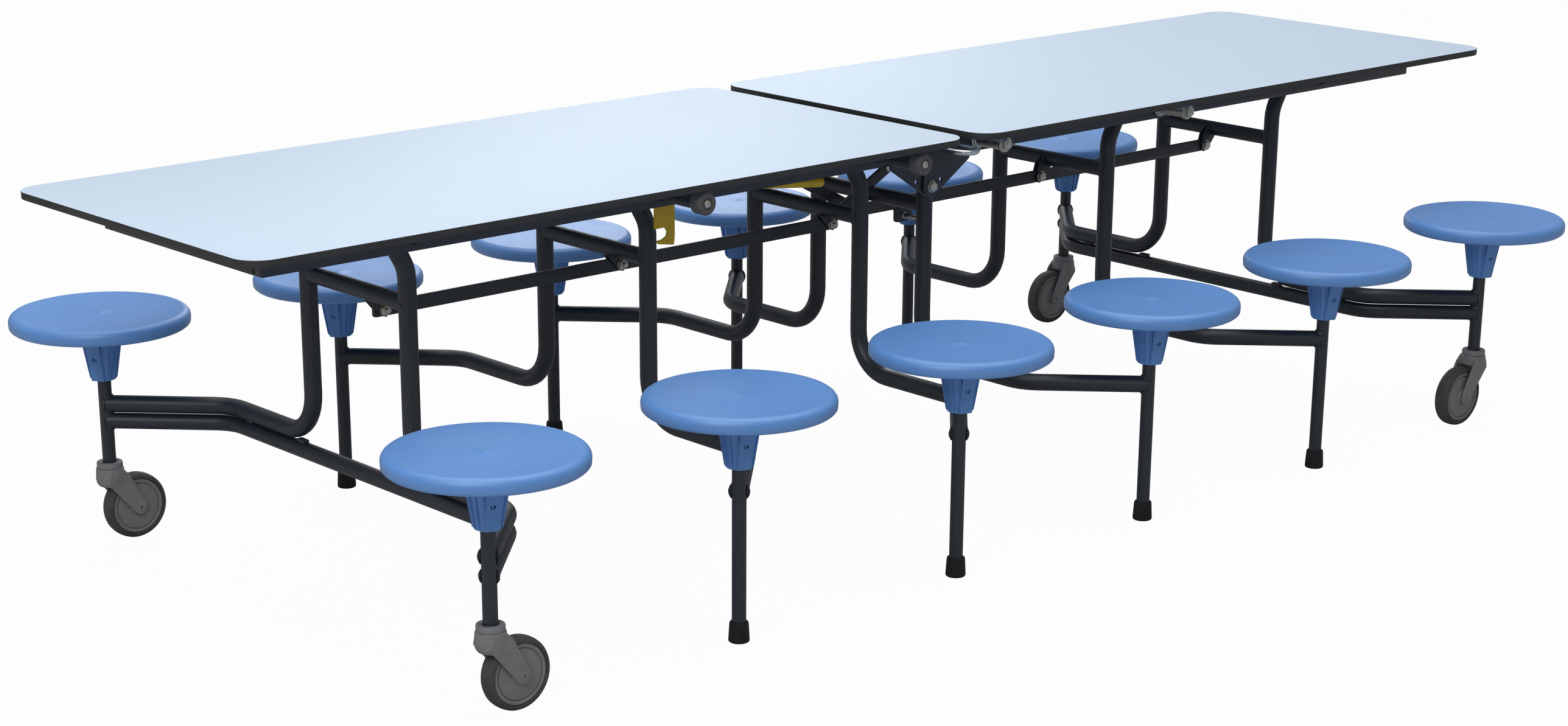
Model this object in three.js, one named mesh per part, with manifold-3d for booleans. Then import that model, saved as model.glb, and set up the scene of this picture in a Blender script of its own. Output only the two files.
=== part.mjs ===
// Mobile folding table with twelve round stools on six tubular leg frames.
// Millimetres, +Z up, X along the table, origin on the floor under its centre.
import * as THREE from 'three';
import { mergeVertices } from 'three/addons/utils/BufferGeometryUtils.js';
import Module from 'manifold-3d';

const wasm = await Module();
wasm.setup();

// Fits: seats between fixed pieces, running gaps round shafts, sinking of welds.
const SEAT_GAP = 0.3;
const RUN_GAP = 0.6;
const PLATE_GAP = 0.5;
const WELD = 0.5;

// Facets of round pieces.
const TUBE_SIDES = 8;
const SHAFT_SIDES = 10;
const BORE_SIDES = 12;
const SEAT_SIDES = 16;
const WHEEL_SIDES = 16;
const HEX_SIDES = 6;
const ARC_STEPS = 5;
const BEND_STEP = Math.PI / 8;

// Table tops.
const TABLE_HEIGHT = 742;
const HALF_LENGTH = 1558.7;
const TABLE_WIDTH = 745;
const PANEL_THICKNESS = 13;
const CENTRE_GAP = 36.6;
const CORNER_RADIUS = 50;
const INNER_CORNER_RADIUS = 50;

// Underframe of each half: a ring of rectangular tube.
const RAIL_HEIGHT = 49;
const RAIL_WIDTH = 25;
const RAIL_INSET = 129.5;
const RAIL_INNER_END = 22;
const RING_END_INSET = 102;
const INNER_CROSS_INSET = 4;

// Leg frames.
const FRAME_PITCH = 524;
const INNER_LEG_X = 85.5;
const LEG_INSET = 68;
const LEG_DIAMETER = 32;
const PIVOT_OFFSET = 44;
const LEG_TOP_ANGLE = Math.PI / 6;
const LEG_TOP_RADIUS = 70;
const LEG_FOOT_RADIUS = 80;
const ARM_Z = 268;
const KNEE_REACH = 48.5;
const KNEE_ANGLE = Math.PI / 4;
const KNEE_RADIUS = 80;
const POST_OFFSET = 169;
const POST_DIAMETER = 25;
const LOWER_ARM_DIAMETER = 30;
const LOWER_ARM_GAP = 1.5;
const CROSS_TUBE_DIAMETER = 30;
const CROSS_TUBE_Z = 567;
const SLEEVE_WALL = 5;
const SLEEVE_LENGTH = 44;
const END_SHAFT_OVERHANG = 15;

// Pivot rods of the middle and inner frames.
const ROD_DIAMETER = 26;
const BUMPER_INSET = 6.5;
const BUMPER_LENGTH = 26;
const BUMPER_DIAMETER = 40;
const BUMPER_PIN_DIAMETER = 14;
const BUMPER_PIN_PROUD = 2;
const RIGHT_ROD_OVERHANG = 77;
const ROD_FLANGE_DIAMETER = 38;
const ROD_FLANGE_LENGTH = 7;
const ROD_END_DIAMETER = 32;
const ROD_END_LENGTH = 6;
const ROD_BOLT_ACROSS = 19;
const ROD_BOLT_HEIGHT = 8;

// Link bars that keep the legs of one half parallel.
const BAR_THICKNESS = 6;
const BAR_HEIGHT = 25;
const BAR_END = 20;
const BAR_BOLT_DROP = 34;
const BAR_BOLT_REACH = 26;
const LEFT_BAR_Y = -37;
const RIGHT_BAR_Y = 15;
const CLEVIS_THICKNESS = 4;
const CLEVIS_ROOT_RADIUS = 17;
const CLEVIS_TIP_RADIUS = 12;
const LINK_BOLT_DIAMETER = 10;
const LINK_HEAD_ACROSS = 17;
const LINK_HEAD_HEIGHT = 6;

// Lock plate and catch pin under the right link bar.
const LOCK_PLATE_REACH = 106;
const LOCK_PLATE_LENGTH = 50;
const LOCK_PLATE_DROP = 28;
const LOCK_PIN_DIAMETER = 11;
const LOCK_PIN_LENGTH = 36;
const LOCK_PIN_INSET = 22;
const LOCK_PIN_DROP = 15.5;

// Crossing struts between one half's inner frame and the other half's underframe.
const STRUT_THICKNESS = 5;
const STRUT_WIDTH = 22;
const STRUT_TOP_X = 105;
const STRUT_TOP_DROP = 123;
const LUG_THICKNESS = 5;
const LUG_TIP_RADIUS = 13;
const LUG_HOLE_DIAMETER = 10;

// Main hinge between the halves.
const HINGE_DROP = 112;
const HINGE_PLATE_THICKNESS = 5;
const HINGE_EYE_RADIUS = 20;
const HINGE_PLATE_REACH = 102;
const HINGE_PLATE_FOOT = 7;
const HINGE_BOLT_DIAMETER = 12;
const HINGE_HEAD_ACROSS = 17;
const HINGE_HEAD_HEIGHT = 8;
const HINGE_SPACER_INSET = 24;

// Stools.
const SEAT_DIAMETER = 330;
const SEAT_HEIGHT = 439;
const END_SEAT_RISE = 5;
const SEAT_RIM_DEPTH = 28;
const SEAT_DISH_DEPTH = 2.5;
const SEAT_EDGE_ROUND = 8;
const SEAT_UNDER_CONE = 8;
const SOCKET_TOP_DIAMETER = 79;
const SOCKET_BOTTOM_DIAMETER = 49;
const SOCKET_DEPTH = 128;
const SOCKET_TOP_DEPTH = 38;
const SOCKET_BORE_TOP = 46;

// Rubber feet.
const FOOT_HEIGHT = 36;
const FOOT_TOP_DIAMETER = 33;
const FOOT_BOTTOM_DIAMETER = 37;
const FOOT_SOLE = 8;

// Casters under the end frames.
const WHEEL_DIAMETER = 125;
const WHEEL_WIDTH = 32;
const TYRE_DEPTH = 10;
const WHEEL_HUB_DIAMETER = 34;
const WHEEL_WEB_WIDTH = 28;
const AXLE_DIAMETER = 10;
const CASTER_TRAIL = 47;
const FORK_COLLAR_TOP = 157;
const FORK_COLLAR_DIAMETER = 48;
const FORK_COLLAR_HEIGHT = 12;
const FORK_CROWN_HEIGHT = 19;
const FORK_CROWN_LENGTH = 44;
const FORK_ARM_THICKNESS = 6;
const FORK_ARM_GAP = 3;
const FORK_BOSS_RADIUS = 15;
const FORK_STEM_DEPTH = 27;

// Lift loop on the front hinge plate of the right half.
const LOOP_ROD_DIAMETER = 11;
const LOOP_CENTRE_X = 25;
const LOOP_WIDTH = 46;
const LOOP_REACH = 83;
const LOOP_CORNER_RADIUS = 22;

// Safety hook and its release handle on the middle left pivot rod.
const HOOK_INSET = 13;
const HOOK_THICKNESS = 4;
const HOOK_HUB_WALL = 8;
const HANDLE_ROD_DIAMETER = 12;
const HANDLE_START = 25;
const HANDLE_BEND_X = 110;
const HANDLE_BEND_DROP = 8;
const HANDLE_REACH = 420;
const HANDLE_DROP = 43;
const HANDLE_BEND_RADIUS = 260;
const GRIP_DIAMETER = 19;
const GRIP_LENGTH = 310;
const GRIP_END = 5;

// Levels and planes that follow from the sizes above.
const PANEL_UNDER = TABLE_HEIGHT - PANEL_THICKNESS;
const HINGE_Z = TABLE_HEIGHT - HINGE_DROP;
const STRUT_TOP_Z = TABLE_HEIGHT - STRUT_TOP_DROP;
const RAIL_TOP = PANEL_UNDER - SEAT_GAP;
const RAIL_BOTTOM = RAIL_TOP - RAIL_HEIGHT;
const RAIL_OUTER_Y = TABLE_WIDTH / 2 - RAIL_INSET;
const RAIL_INNER_Y = RAIL_OUTER_Y - RAIL_WIDTH;
const LEG_Y = RAIL_INNER_Y - LEG_INSET;
const KNEE_Y = TABLE_WIDTH / 2 + KNEE_REACH;
const BUMPER_FACE_Y = TABLE_WIDTH / 2 - BUMPER_INSET;
const RIGHT_ROD_END_Y = RAIL_OUTER_Y + RIGHT_ROD_OVERHANG;
const HOOK_Y = HOOK_INSET - RAIL_INNER_Y;
const PIVOT_Z = RAIL_TOP - RAIL_HEIGHT / 2;
const HALF_OUTER_X = CENTRE_GAP / 2 + HALF_LENGTH;
const RING_OUTER_X = HALF_OUTER_X - RING_END_INSET;
const LEG_X = {
  inner: INNER_LEG_X,
  middle: INNER_LEG_X + FRAME_PITCH,
  end: INNER_LEG_X + 2 * FRAME_PITCH,
};
const POST_Y = KNEE_Y + POST_OFFSET / Math.tan(KNEE_ANGLE);
const BAR_BOLT_Z = CROSS_TUBE_Z - BAR_BOLT_DROP;
const BORE_RADIUS = ROD_DIAMETER / 2 + RUN_GAP;
const SLEEVE_RADIUS = BORE_RADIUS + SLEEVE_WALL;
const SOCKET_BORE = POST_DIAMETER / 2 + RUN_GAP;
const BAR_Y = { left: LEFT_BAR_Y, right: RIGHT_BAR_Y };
const SIGN = { left: -1, right: 1 };
const ROWS = { front: -1, rear: 1 };

const finish = (color, roughness, metalness = 0) =>
  new THREE.MeshStandardMaterial({ color, roughness, metalness });
const MATERIAL = {
  laminate: finish(0xd5e6f5, 0.35),
  frame: finish(0x2a3036, 0.5, 0.2),
  seat: finish(0x5a91d7, 0.45),
  rubber: finish(0x1c1d1f, 0.85),
  zinc: finish(0xb9bcc0, 0.35, 0.9),
  chrome: finish(0xd8dadc, 0.15, 1),
  yellow: finish(0xe1be14, 0.5),
  caster: finish(0x84878c, 0.55),
  tyre: finish(0x4a4c50, 0.8),
};

// A closed geometry as a solid that can be joined and cut.
function solid(geometry) {
  const bare = geometry.clone();
  bare.deleteAttribute('normal');
  bare.deleteAttribute('uv');
  const merged = mergeVertices(bare, 1e-4);
  const build = (triVerts) =>
    new wasm.Manifold(
      new wasm.Mesh({
        numProp: 3,
        vertProperties: new Float32Array(merged.attributes.position.array),
        triVerts,
      }),
    );
  const index = new Uint32Array(merged.index.array);
  const made = build(index);
  if (made.volume() > 0) return made;
  for (let i = 0; i < index.length; i += 3) {
    [index[i + 1], index[i + 2]] = [index[i + 2], index[i + 1]];
  }
  return build(index);
}

const join = (pieces) => pieces.reduce((whole, piece) => whole.add(piece));
const cut = (whole, tools) => tools.reduce((rest, tool) => rest.subtract(tool), whole);

function mesh(name, shape, material) {
  const data = shape.getMesh();
  const geometry = new THREE.BufferGeometry();
  geometry.setAttribute('position', new THREE.BufferAttribute(data.vertProperties, 3));
  geometry.setIndex(new THREE.BufferAttribute(data.triVerts, 1));
  geometry.computeVertexNormals();
  const made = new THREE.Mesh(geometry, material);
  made.name = name;
  return made;
}

// A path whose rings stand exactly on the given points.
class RingPath extends THREE.Curve {
  constructor(points) {
    super();
    this.points = points;
  }
  getPoint(t) {
    const last = this.points.length - 1;
    const at = Math.min(Math.floor(t * last), last - 1);
    return this.points[at].clone().lerp(this.points[at + 1], t * last - at);
  }
  getPointAt(u) {
    return this.getPoint(u);
  }
  getSpacedPoints() {
    return this.points.map((point) => point.clone());
  }
  getTangentAt(u) {
    const last = this.points.length - 1;
    const at = Math.round(u * last);
    const before = this.points[Math.max(at - 1, 0)];
    const here = this.points[at];
    const after = this.points[Math.min(at + 1, last)];
    const into = here.clone().sub(before).normalize();
    const out = after.clone().sub(here).normalize();
    return into.add(out).normalize();
  }
}

// Corner points joined by straight runs, each inner corner rounded to its radius.
function bentPoints(corners, radii) {
  const points = [corners[0].clone()];
  for (let i = 1; i < corners.length - 1; i += 1) {
    const into = corners[i].clone().sub(corners[i - 1]);
    const out = corners[i + 1].clone().sub(corners[i]);
    const room = Math.min(into.length(), out.length());
    into.normalize();
    out.normalize();
    const turn = into.angleTo(out);
    const reach = Math.min(radii[i - 1] * Math.tan(turn / 2), room * 0.9);
    const radius = reach / Math.tan(turn / 2);
    const start = corners[i].clone().addScaledVector(into, -reach);
    const inward = out.clone().addScaledVector(into, -into.dot(out)).normalize();
    const centre = start.clone().addScaledVector(inward, radius);
    const steps = Math.max(2, Math.ceil(turn / BEND_STEP));
    for (let k = 0; k <= steps; k += 1) {
      const angle = (turn * k) / steps;
      const point = centre.clone().addScaledVector(inward, -radius * Math.cos(angle));
      points.push(point.addScaledVector(into, radius * Math.sin(angle)));
    }
  }
  points.push(corners[corners.length - 1].clone());
  return points;
}

const circle = (radius, sides, x = 0, y = 0) =>
  Array.from({ length: sides }, (_, i) => {
    const angle = (2 * Math.PI * i) / sides;
    return new THREE.Vector2(x + radius * Math.cos(angle), y + radius * Math.sin(angle));
  });

// A round bar or tube body along ring points.
const tube = (points, diameter) =>
  solid(
    new THREE.ExtrudeGeometry(new THREE.Shape(circle(diameter / 2, TUBE_SIDES)), {
      steps: points.length - 1,
      extrudePath: new RingPath(points),
    }),
  );

// Cylinders along Y and along Z between two levels.
function rodY(radius, y0, y1, x, z, sides = SHAFT_SIDES) {
  const geometry = new THREE.CylinderGeometry(radius, radius, y1 - y0, sides);
  return solid(geometry.translate(x, (y0 + y1) / 2, z));
}

function rodZ(radius, z0, z1, x, y, sides = SHAFT_SIDES) {
  const geometry = new THREE.CylinderGeometry(radius, radius, z1 - z0, sides);
  return solid(geometry.rotateX(Math.PI / 2).translate(x, y, (z0 + z1) / 2));
}

const box = (x0, x1, y0, y1, z0, z1) =>
  solid(
    new THREE.BoxGeometry(Math.abs(x1 - x0), Math.abs(y1 - y0), Math.abs(z1 - z0)).translate(
      (x0 + x1) / 2,
      (y0 + y1) / 2,
      (z0 + z1) / 2,
    ),
  );

// A flat plate in the XZ plane, between two Y planes.
const plate = (outline, y0, y1) =>
  solid(
    new THREE.ExtrudeGeometry(new THREE.Shape(outline), { depth: y1 - y0, bevelEnabled: false })
      .rotateX(Math.PI / 2)
      .translate(0, y1, 0),
  );

// The outline drawn tight round a set of points.
function wrap(points) {
  const sorted = [...points].sort((a, b) => a.x - b.x || a.y - b.y);
  const turn = (o, a, b) => (a.x - o.x) * (b.y - o.y) - (a.y - o.y) * (b.x - o.x);
  const chain = (list) => {
    const kept = [];
    for (const point of list) {
      while (kept.length > 1 && turn(kept[kept.length - 2], kept[kept.length - 1], point) <= 1e-6) {
        kept.pop();
      }
      kept.push(point);
    }
    kept.pop();
    return kept;
  };
  return [...chain(sorted), ...chain(sorted.reverse())];
}

// A lathe profile given as [radius, height] pairs, turned about Z.
const turned = (profile, sides) =>
  new THREE.LatheGeometry(
    profile.map(([radius, height]) => new THREE.Vector2(radius, height)),
    sides,
  ).rotateX(Math.PI / 2);

const hexRadius = (across) => across / 2 / Math.cos(Math.PI / HEX_SIDES);
const between = (a, b) => [Math.min(a, b), Math.max(a, b)];

const table = new THREE.Group();

// One table top: a flat panel with rounded corners.
function tabletop(side) {
  const sign = SIGN[side];
  const corner = (x, y, radius, from) =>
    Array.from({ length: ARC_STEPS + 1 }, (_, i) => {
      const angle = from + (Math.PI / 2) * (i / ARC_STEPS);
      return new THREE.Vector2(x + radius * Math.cos(angle), y + radius * Math.sin(angle));
    });
  const inner = CENTRE_GAP / 2 + INNER_CORNER_RADIUS;
  const outer = HALF_OUTER_X - CORNER_RADIUS;
  const innerY = TABLE_WIDTH / 2 - INNER_CORNER_RADIUS;
  const outerY = TABLE_WIDTH / 2 - CORNER_RADIUS;
  const outline = [
    ...corner(outer, outerY, CORNER_RADIUS, 0),
    ...corner(inner, innerY, INNER_CORNER_RADIUS, Math.PI / 2),
    ...corner(inner, -innerY, INNER_CORNER_RADIUS, Math.PI),
    ...corner(outer, -outerY, CORNER_RADIUS, 1.5 * Math.PI),
  ].map((point) => new THREE.Vector2(sign * point.x, point.y));
  const panel = new THREE.ExtrudeGeometry(new THREE.Shape(outline), {
    depth: PANEL_THICKNESS,
    bevelEnabled: false,
  });
  return mesh(`${side}_tabletop`, solid(panel.translate(0, 0, PANEL_UNDER)), MATERIAL.laminate);
}

// Hinge plate outline: an eye round the hinge axis, widening up to the rail.
function hingeOutline(sign) {
  const foot = RAIL_BOTTOM - HINGE_PLATE_FOOT;
  const top = RAIL_TOP - SEAT_GAP;
  const points = [
    ...circle(HINGE_EYE_RADIUS, SHAFT_SIDES, 0, HINGE_Z),
    new THREE.Vector2(-sign * HINGE_EYE_RADIUS, top),
    new THREE.Vector2(sign * HINGE_PLATE_REACH, top),
    new THREE.Vector2(sign * HINGE_PLATE_REACH, foot),
  ];
  return wrap(points);
}

const HINGE_INNER_Y = { left: RAIL_OUTER_Y, right: RAIL_OUTER_Y + HINGE_PLATE_THICKNESS + PLATE_GAP };
const HINGE_STACK_Y = HINGE_INNER_Y.right + HINGE_PLATE_THICKNESS;

// Strut and lug planes, stacked against the link bar brackets they share a bolt with.
const clevisOuter = (side) =>
  BAR_Y[side] + SIGN[side] * -1 * (BAR_THICKNESS / 2 + PLATE_GAP + CLEVIS_THICKNESS);
const strutNear = (side) => clevisOuter(side) - SIGN[side] * PLATE_GAP;
const strutFar = (side) => strutNear(side) - SIGN[side] * STRUT_THICKNESS;
const lugNear = (side) => strutFar(side) - SIGN[side] * PLATE_GAP;
const lugFar = (side) => lugNear(side) - SIGN[side] * LUG_THICKNESS;
const OTHER = { left: 'right', right: 'left' };

// Underframe ring with its hinge plates and the lug that holds a strut.
function underframe(side) {
  const sign = SIGN[side];
  const pieces = [];
  const inner = RAIL_INNER_END;
  const crossInner = inner + INNER_CROSS_INSET;
  for (const row of Object.values(ROWS)) {
    pieces.push(
      box(
        sign * inner,
        sign * RING_OUTER_X,
        row * RAIL_INNER_Y,
        row * RAIL_OUTER_Y,
        RAIL_BOTTOM,
        RAIL_TOP,
      ),
    );
    const nearY = row * (HINGE_INNER_Y[side] - (side === 'left' ? WELD : 0));
    const farY = row * (HINGE_INNER_Y[side] + HINGE_PLATE_THICKNESS);
    pieces.push(plate(hingeOutline(sign), ...between(nearY, farY)));
    if (side === 'right') {
      pieces.push(
        box(
          sign * (HINGE_EYE_RADIUS + HINGE_SPACER_INSET),
          sign * HINGE_PLATE_REACH,
          row * (RAIL_OUTER_Y - WELD),
          row * (HINGE_INNER_Y.right + WELD),
          RAIL_BOTTOM + WELD,
          RAIL_TOP - WELD,
        ),
      );
    }
  }
  const crossY = RAIL_INNER_Y + WELD;
  for (const x of [crossInner, RING_OUTER_X - RAIL_WIDTH]) {
    pieces.push(box(sign * x, sign * (x + RAIL_WIDTH), -crossY, crossY, RAIL_BOTTOM, RAIL_TOP));
  }
  const owner = OTHER[side];
  const lug = wrap([
    ...circle(LUG_TIP_RADIUS, SHAFT_SIDES, sign * STRUT_TOP_X, STRUT_TOP_Z),
    new THREE.Vector2(sign * (crossInner + WELD), RAIL_TOP - WELD),
    new THREE.Vector2(sign * (crossInner + RAIL_WIDTH - WELD), RAIL_TOP - WELD),
    new THREE.Vector2(sign * (crossInner + WELD), RAIL_BOTTOM + WELD),
  ]);
  pieces.push(plate(lug, ...between(lugNear(owner), lugFar(owner))));
  const wide = HINGE_STACK_Y + RAIL_WIDTH;
  const cuts = Object.values(LEG_X).map((x) =>
    rodY(BORE_RADIUS, -wide, wide, sign * (x + PIVOT_OFFSET), PIVOT_Z, BORE_SIDES),
  );
  cuts.push(rodY(HINGE_BOLT_DIAMETER / 2 + RUN_GAP, -wide, wide, 0, HINGE_Z, BORE_SIDES));
  const lugCut = between(lugNear(owner), lugFar(owner));
  cuts.push(
    rodY(LUG_HOLE_DIAMETER / 2, lugCut[0] - WELD, lugCut[1] + WELD, sign * STRUT_TOP_X, STRUT_TOP_Z),
  );
  return mesh(`${side}_underframe`, cut(join(pieces), cuts), MATERIAL.frame);
}

// Hinge bolt with its head outside the plates and its nut inside.
function hingeBolt(row) {
  const sign = ROWS[row];
  const nut = RAIL_OUTER_Y - WELD - SEAT_GAP;
  const head = HINGE_STACK_Y + SEAT_GAP;
  const hex = hexRadius(HINGE_HEAD_ACROSS);
  const span = (a, b) => between(sign * a, sign * b);
  return mesh(
    `${row}_hinge_bolt`,
    join([
      rodY(HINGE_BOLT_DIAMETER / 2, ...span(nut - WELD, head + WELD), 0, HINGE_Z),
      rodY(hex, ...span(head, head + HINGE_HEAD_HEIGHT), 0, HINGE_Z, HEX_SIDES),
      rodY(hex, ...span(nut - HINGE_HEAD_HEIGHT, nut), 0, HINGE_Z, HEX_SIDES),
    ]),
    MATERIAL.zinc,
  );
}

// Pivot rod of a left frame, stepped down at its ends for the rubber bumpers.
function bumperRod(name, x) {
  const step = BUMPER_FACE_Y - BUMPER_LENGTH - SEAT_GAP;
  const tip = BUMPER_FACE_Y + BUMPER_PIN_PROUD;
  const shape = join([
    rodY(ROD_DIAMETER / 2, -step, step, x, PIVOT_Z),
    rodY(BUMPER_PIN_DIAMETER / 2, -tip, tip, x, PIVOT_Z),
  ]);
  return mesh(name, shape, MATERIAL.frame);
}

function bumper(name, x, row) {
  const span = between(row * (BUMPER_FACE_Y - BUMPER_LENGTH), row * BUMPER_FACE_Y);
  const hole = [span[0] - WELD, span[1] + WELD];
  const ring = cut(rodY(BUMPER_DIAMETER / 2, ...span, x, PIVOT_Z, BORE_SIDES), [
    rodY(BUMPER_PIN_DIAMETER / 2 + SEAT_GAP, ...hole, x, PIVOT_Z),
  ]);
  return mesh(name, ring, MATERIAL.rubber);
}

// Plated pivot rod of a right frame, with flanges and end bolts.
function flangedRod(name, x) {
  const pieces = [rodY(ROD_DIAMETER / 2, -RIGHT_ROD_END_Y, RIGHT_ROD_END_Y, x, PIVOT_Z)];
  for (const row of Object.values(ROWS)) {
    const face = RAIL_OUTER_Y + SEAT_GAP;
    const end = RIGHT_ROD_END_Y;
    const flange = between(row * face, row * (face + ROD_FLANGE_LENGTH));
    const cap = between(row * (end - ROD_END_LENGTH), row * end);
    const bolt = between(row * (end - WELD), row * (end + ROD_BOLT_HEIGHT));
    pieces.push(rodY(ROD_FLANGE_DIAMETER / 2, ...flange, x, PIVOT_Z, BORE_SIDES));
    pieces.push(rodY(ROD_END_DIAMETER / 2, ...cap, x, PIVOT_Z, BORE_SIDES));
    pieces.push(rodY(hexRadius(ROD_BOLT_ACROSS), ...bolt, x, PIVOT_Z, HEX_SIDES));
  }
  return mesh(name, join(pieces), MATERIAL.zinc);
}

// Leg frame about its own legs: sleeves or shaft, legs, arms, posts and bracket.
function legFrame(side, place) {
  const sign = SIGN[side];
  const pieces = [];
  const postX = sign * POST_OFFSET;
  const pivotX = sign * PIVOT_OFFSET;
  const isEnd = place === 'end';
  const seatTop = SEAT_HEIGHT + (isEnd ? END_SEAT_RISE : 0);
  const postTop = seatTop - SOCKET_BORE_TOP - SEAT_GAP;
  const stemFloor = FORK_COLLAR_TOP - FORK_STEM_DEPTH;
  const postFoot = (isEnd ? stemFloor : FOOT_SOLE) + SEAT_GAP;
  for (const row of Object.values(ROWS)) {
    const bendZ = PIVOT_Z - PIVOT_OFFSET / Math.tan(LEG_TOP_ANGLE);
    const corners = [
      new THREE.Vector3(pivotX, row * LEG_Y, PIVOT_Z),
      new THREE.Vector3(0, row * LEG_Y, bendZ),
      new THREE.Vector3(0, row * LEG_Y, ARM_Z),
      new THREE.Vector3(0, row * KNEE_Y, ARM_Z),
      new THREE.Vector3(postX, row * POST_Y, ARM_Z),
    ];
    const radii = [LEG_TOP_RADIUS, LEG_FOOT_RADIUS, KNEE_RADIUS];
    pieces.push(tube(bentPoints(corners, radii), LEG_DIAMETER));
    pieces.push(rodZ(POST_DIAMETER / 2, postFoot, postTop, postX, row * POST_Y));
    const sleeve = between(row * (LEG_Y - SLEEVE_LENGTH / 2), row * (LEG_Y + SLEEVE_LENGTH / 2));
    pieces.push(rodY(SLEEVE_RADIUS, ...sleeve, pivotX, PIVOT_Z, BORE_SIDES));
  }
  if (isEnd) {
    const lowZ = ARM_Z - LEG_DIAMETER / 2 - LOWER_ARM_GAP - LOWER_ARM_DIAMETER / 2;
    const corners = [
      new THREE.Vector3(postX, -POST_Y, lowZ),
      new THREE.Vector3(0, -KNEE_Y, lowZ),
      new THREE.Vector3(0, KNEE_Y, lowZ),
      new THREE.Vector3(postX, POST_Y, lowZ),
    ];
    pieces.push(tube(bentPoints(corners, [KNEE_RADIUS, KNEE_RADIUS]), LOWER_ARM_DIAMETER));
    const shaft = RAIL_OUTER_Y + END_SHAFT_OVERHANG;
    pieces.push(rodY(ROD_DIAMETER / 2, -shaft, shaft, pivotX, PIVOT_Z));
  }
  pieces.push(rodY(CROSS_TUBE_DIAMETER / 2, -LEG_Y, LEG_Y, 0, CROSS_TUBE_Z, TUBE_SIDES));
  const boltX = -sign * BAR_BOLT_REACH;
  const bracket = wrap([
    ...circle(CLEVIS_ROOT_RADIUS, TUBE_SIDES, 0, CROSS_TUBE_Z),
    ...circle(CLEVIS_TIP_RADIUS, TUBE_SIDES, boltX, BAR_BOLT_Z),
  ]);
  const inside = BAR_THICKNESS / 2 + PLATE_GAP;
  const outside = inside + CLEVIS_THICKNESS;
  const barY = BAR_Y[side];
  for (const row of Object.values(ROWS)) {
    pieces.push(plate(bracket, ...between(barY + row * inside, barY + row * outside)));
  }
  const hex = hexRadius(LINK_HEAD_ACROSS);
  const strutSide = place === 'inner' ? strutFar(side) - sign * PLATE_GAP : clevisOuter(side);
  const farSide = barY + sign * outside;
  const heads = [
    between(strutSide, strutSide - sign * LINK_HEAD_HEIGHT),
    between(farSide, farSide + sign * LINK_HEAD_HEIGHT),
  ];
  const shank = between(strutSide - sign * WELD, farSide + sign * WELD);
  pieces.push(rodY(LINK_BOLT_DIAMETER / 2, ...shank, boltX, BAR_BOLT_Z));
  for (const head of heads) {
    pieces.push(rodY(hex, ...head, boltX, BAR_BOLT_Z, HEX_SIDES));
  }
  const reach = LEG_Y + SLEEVE_LENGTH;
  const bore = rodY(BORE_RADIUS, -reach, reach, pivotX, PIVOT_Z, BORE_SIDES);
  const whole = isEnd ? join(pieces) : cut(join(pieces), [bore]);
  return mesh(`${side}_${place}_frame`, whole, MATERIAL.frame);
}

// Stool top and its tapered socket, one moulding, measured down from the seat top.
const seatGeometry = solid(
  turned(
    [
      [0, -SEAT_DISH_DEPTH],
      [SEAT_DIAMETER / 2 - 4 * SEAT_EDGE_ROUND, -SEAT_DISH_DEPTH],
      [SEAT_DIAMETER / 2 - 2 * SEAT_EDGE_ROUND, 0],
      [SEAT_DIAMETER / 2 - SEAT_EDGE_ROUND, -SEAT_DISH_DEPTH / 2],
      [SEAT_DIAMETER / 2, -SEAT_EDGE_ROUND],
      [SEAT_DIAMETER / 2, SEAT_EDGE_ROUND / 2 - SEAT_RIM_DEPTH],
      [SEAT_DIAMETER / 2 - SEAT_EDGE_ROUND, -SEAT_RIM_DEPTH],
      [SOCKET_TOP_DIAMETER / 2 + 2 * SEAT_UNDER_CONE, -SEAT_RIM_DEPTH],
      [SOCKET_TOP_DIAMETER / 2, -SOCKET_TOP_DEPTH],
      [SOCKET_BOTTOM_DIAMETER / 2, -SOCKET_DEPTH],
      [SOCKET_BORE, -SOCKET_DEPTH],
      [SOCKET_BORE, -SOCKET_BORE_TOP],
      [0, -SOCKET_BORE_TOP],
    ].reverse(),
    SEAT_SIDES,
  ),
);

const footGeometry = solid(
  turned(
    [
      [0, 0],
      [FOOT_BOTTOM_DIAMETER / 2, 0],
      [FOOT_TOP_DIAMETER / 2, FOOT_HEIGHT],
      [SOCKET_BORE, FOOT_HEIGHT],
      [SOCKET_BORE, FOOT_SOLE],
      [0, FOOT_SOLE],
    ],
    BORE_SIDES,
  ),
);

const TYRE_INNER = WHEEL_DIAMETER / 2 - TYRE_DEPTH;
const HUB_HALF = WHEEL_WIDTH / 2 + FORK_ARM_GAP - PLATE_GAP;
const wheelGeometry = solid(
  turned(
    [
      [AXLE_DIAMETER / 2 + RUN_GAP, -HUB_HALF],
      [WHEEL_HUB_DIAMETER / 2, -HUB_HALF],
      [WHEEL_HUB_DIAMETER / 2, -WHEEL_WEB_WIDTH / 2],
      [TYRE_INNER - SEAT_GAP, -WHEEL_WEB_WIDTH / 2],
      [TYRE_INNER - SEAT_GAP, WHEEL_WEB_WIDTH / 2],
      [WHEEL_HUB_DIAMETER / 2, WHEEL_WEB_WIDTH / 2],
      [WHEEL_HUB_DIAMETER / 2, HUB_HALF],
      [AXLE_DIAMETER / 2 + RUN_GAP, HUB_HALF],
      [AXLE_DIAMETER / 2 + RUN_GAP, -HUB_HALF],
    ],
    WHEEL_SIDES,
  ).rotateX(Math.PI / 2),
);

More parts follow.
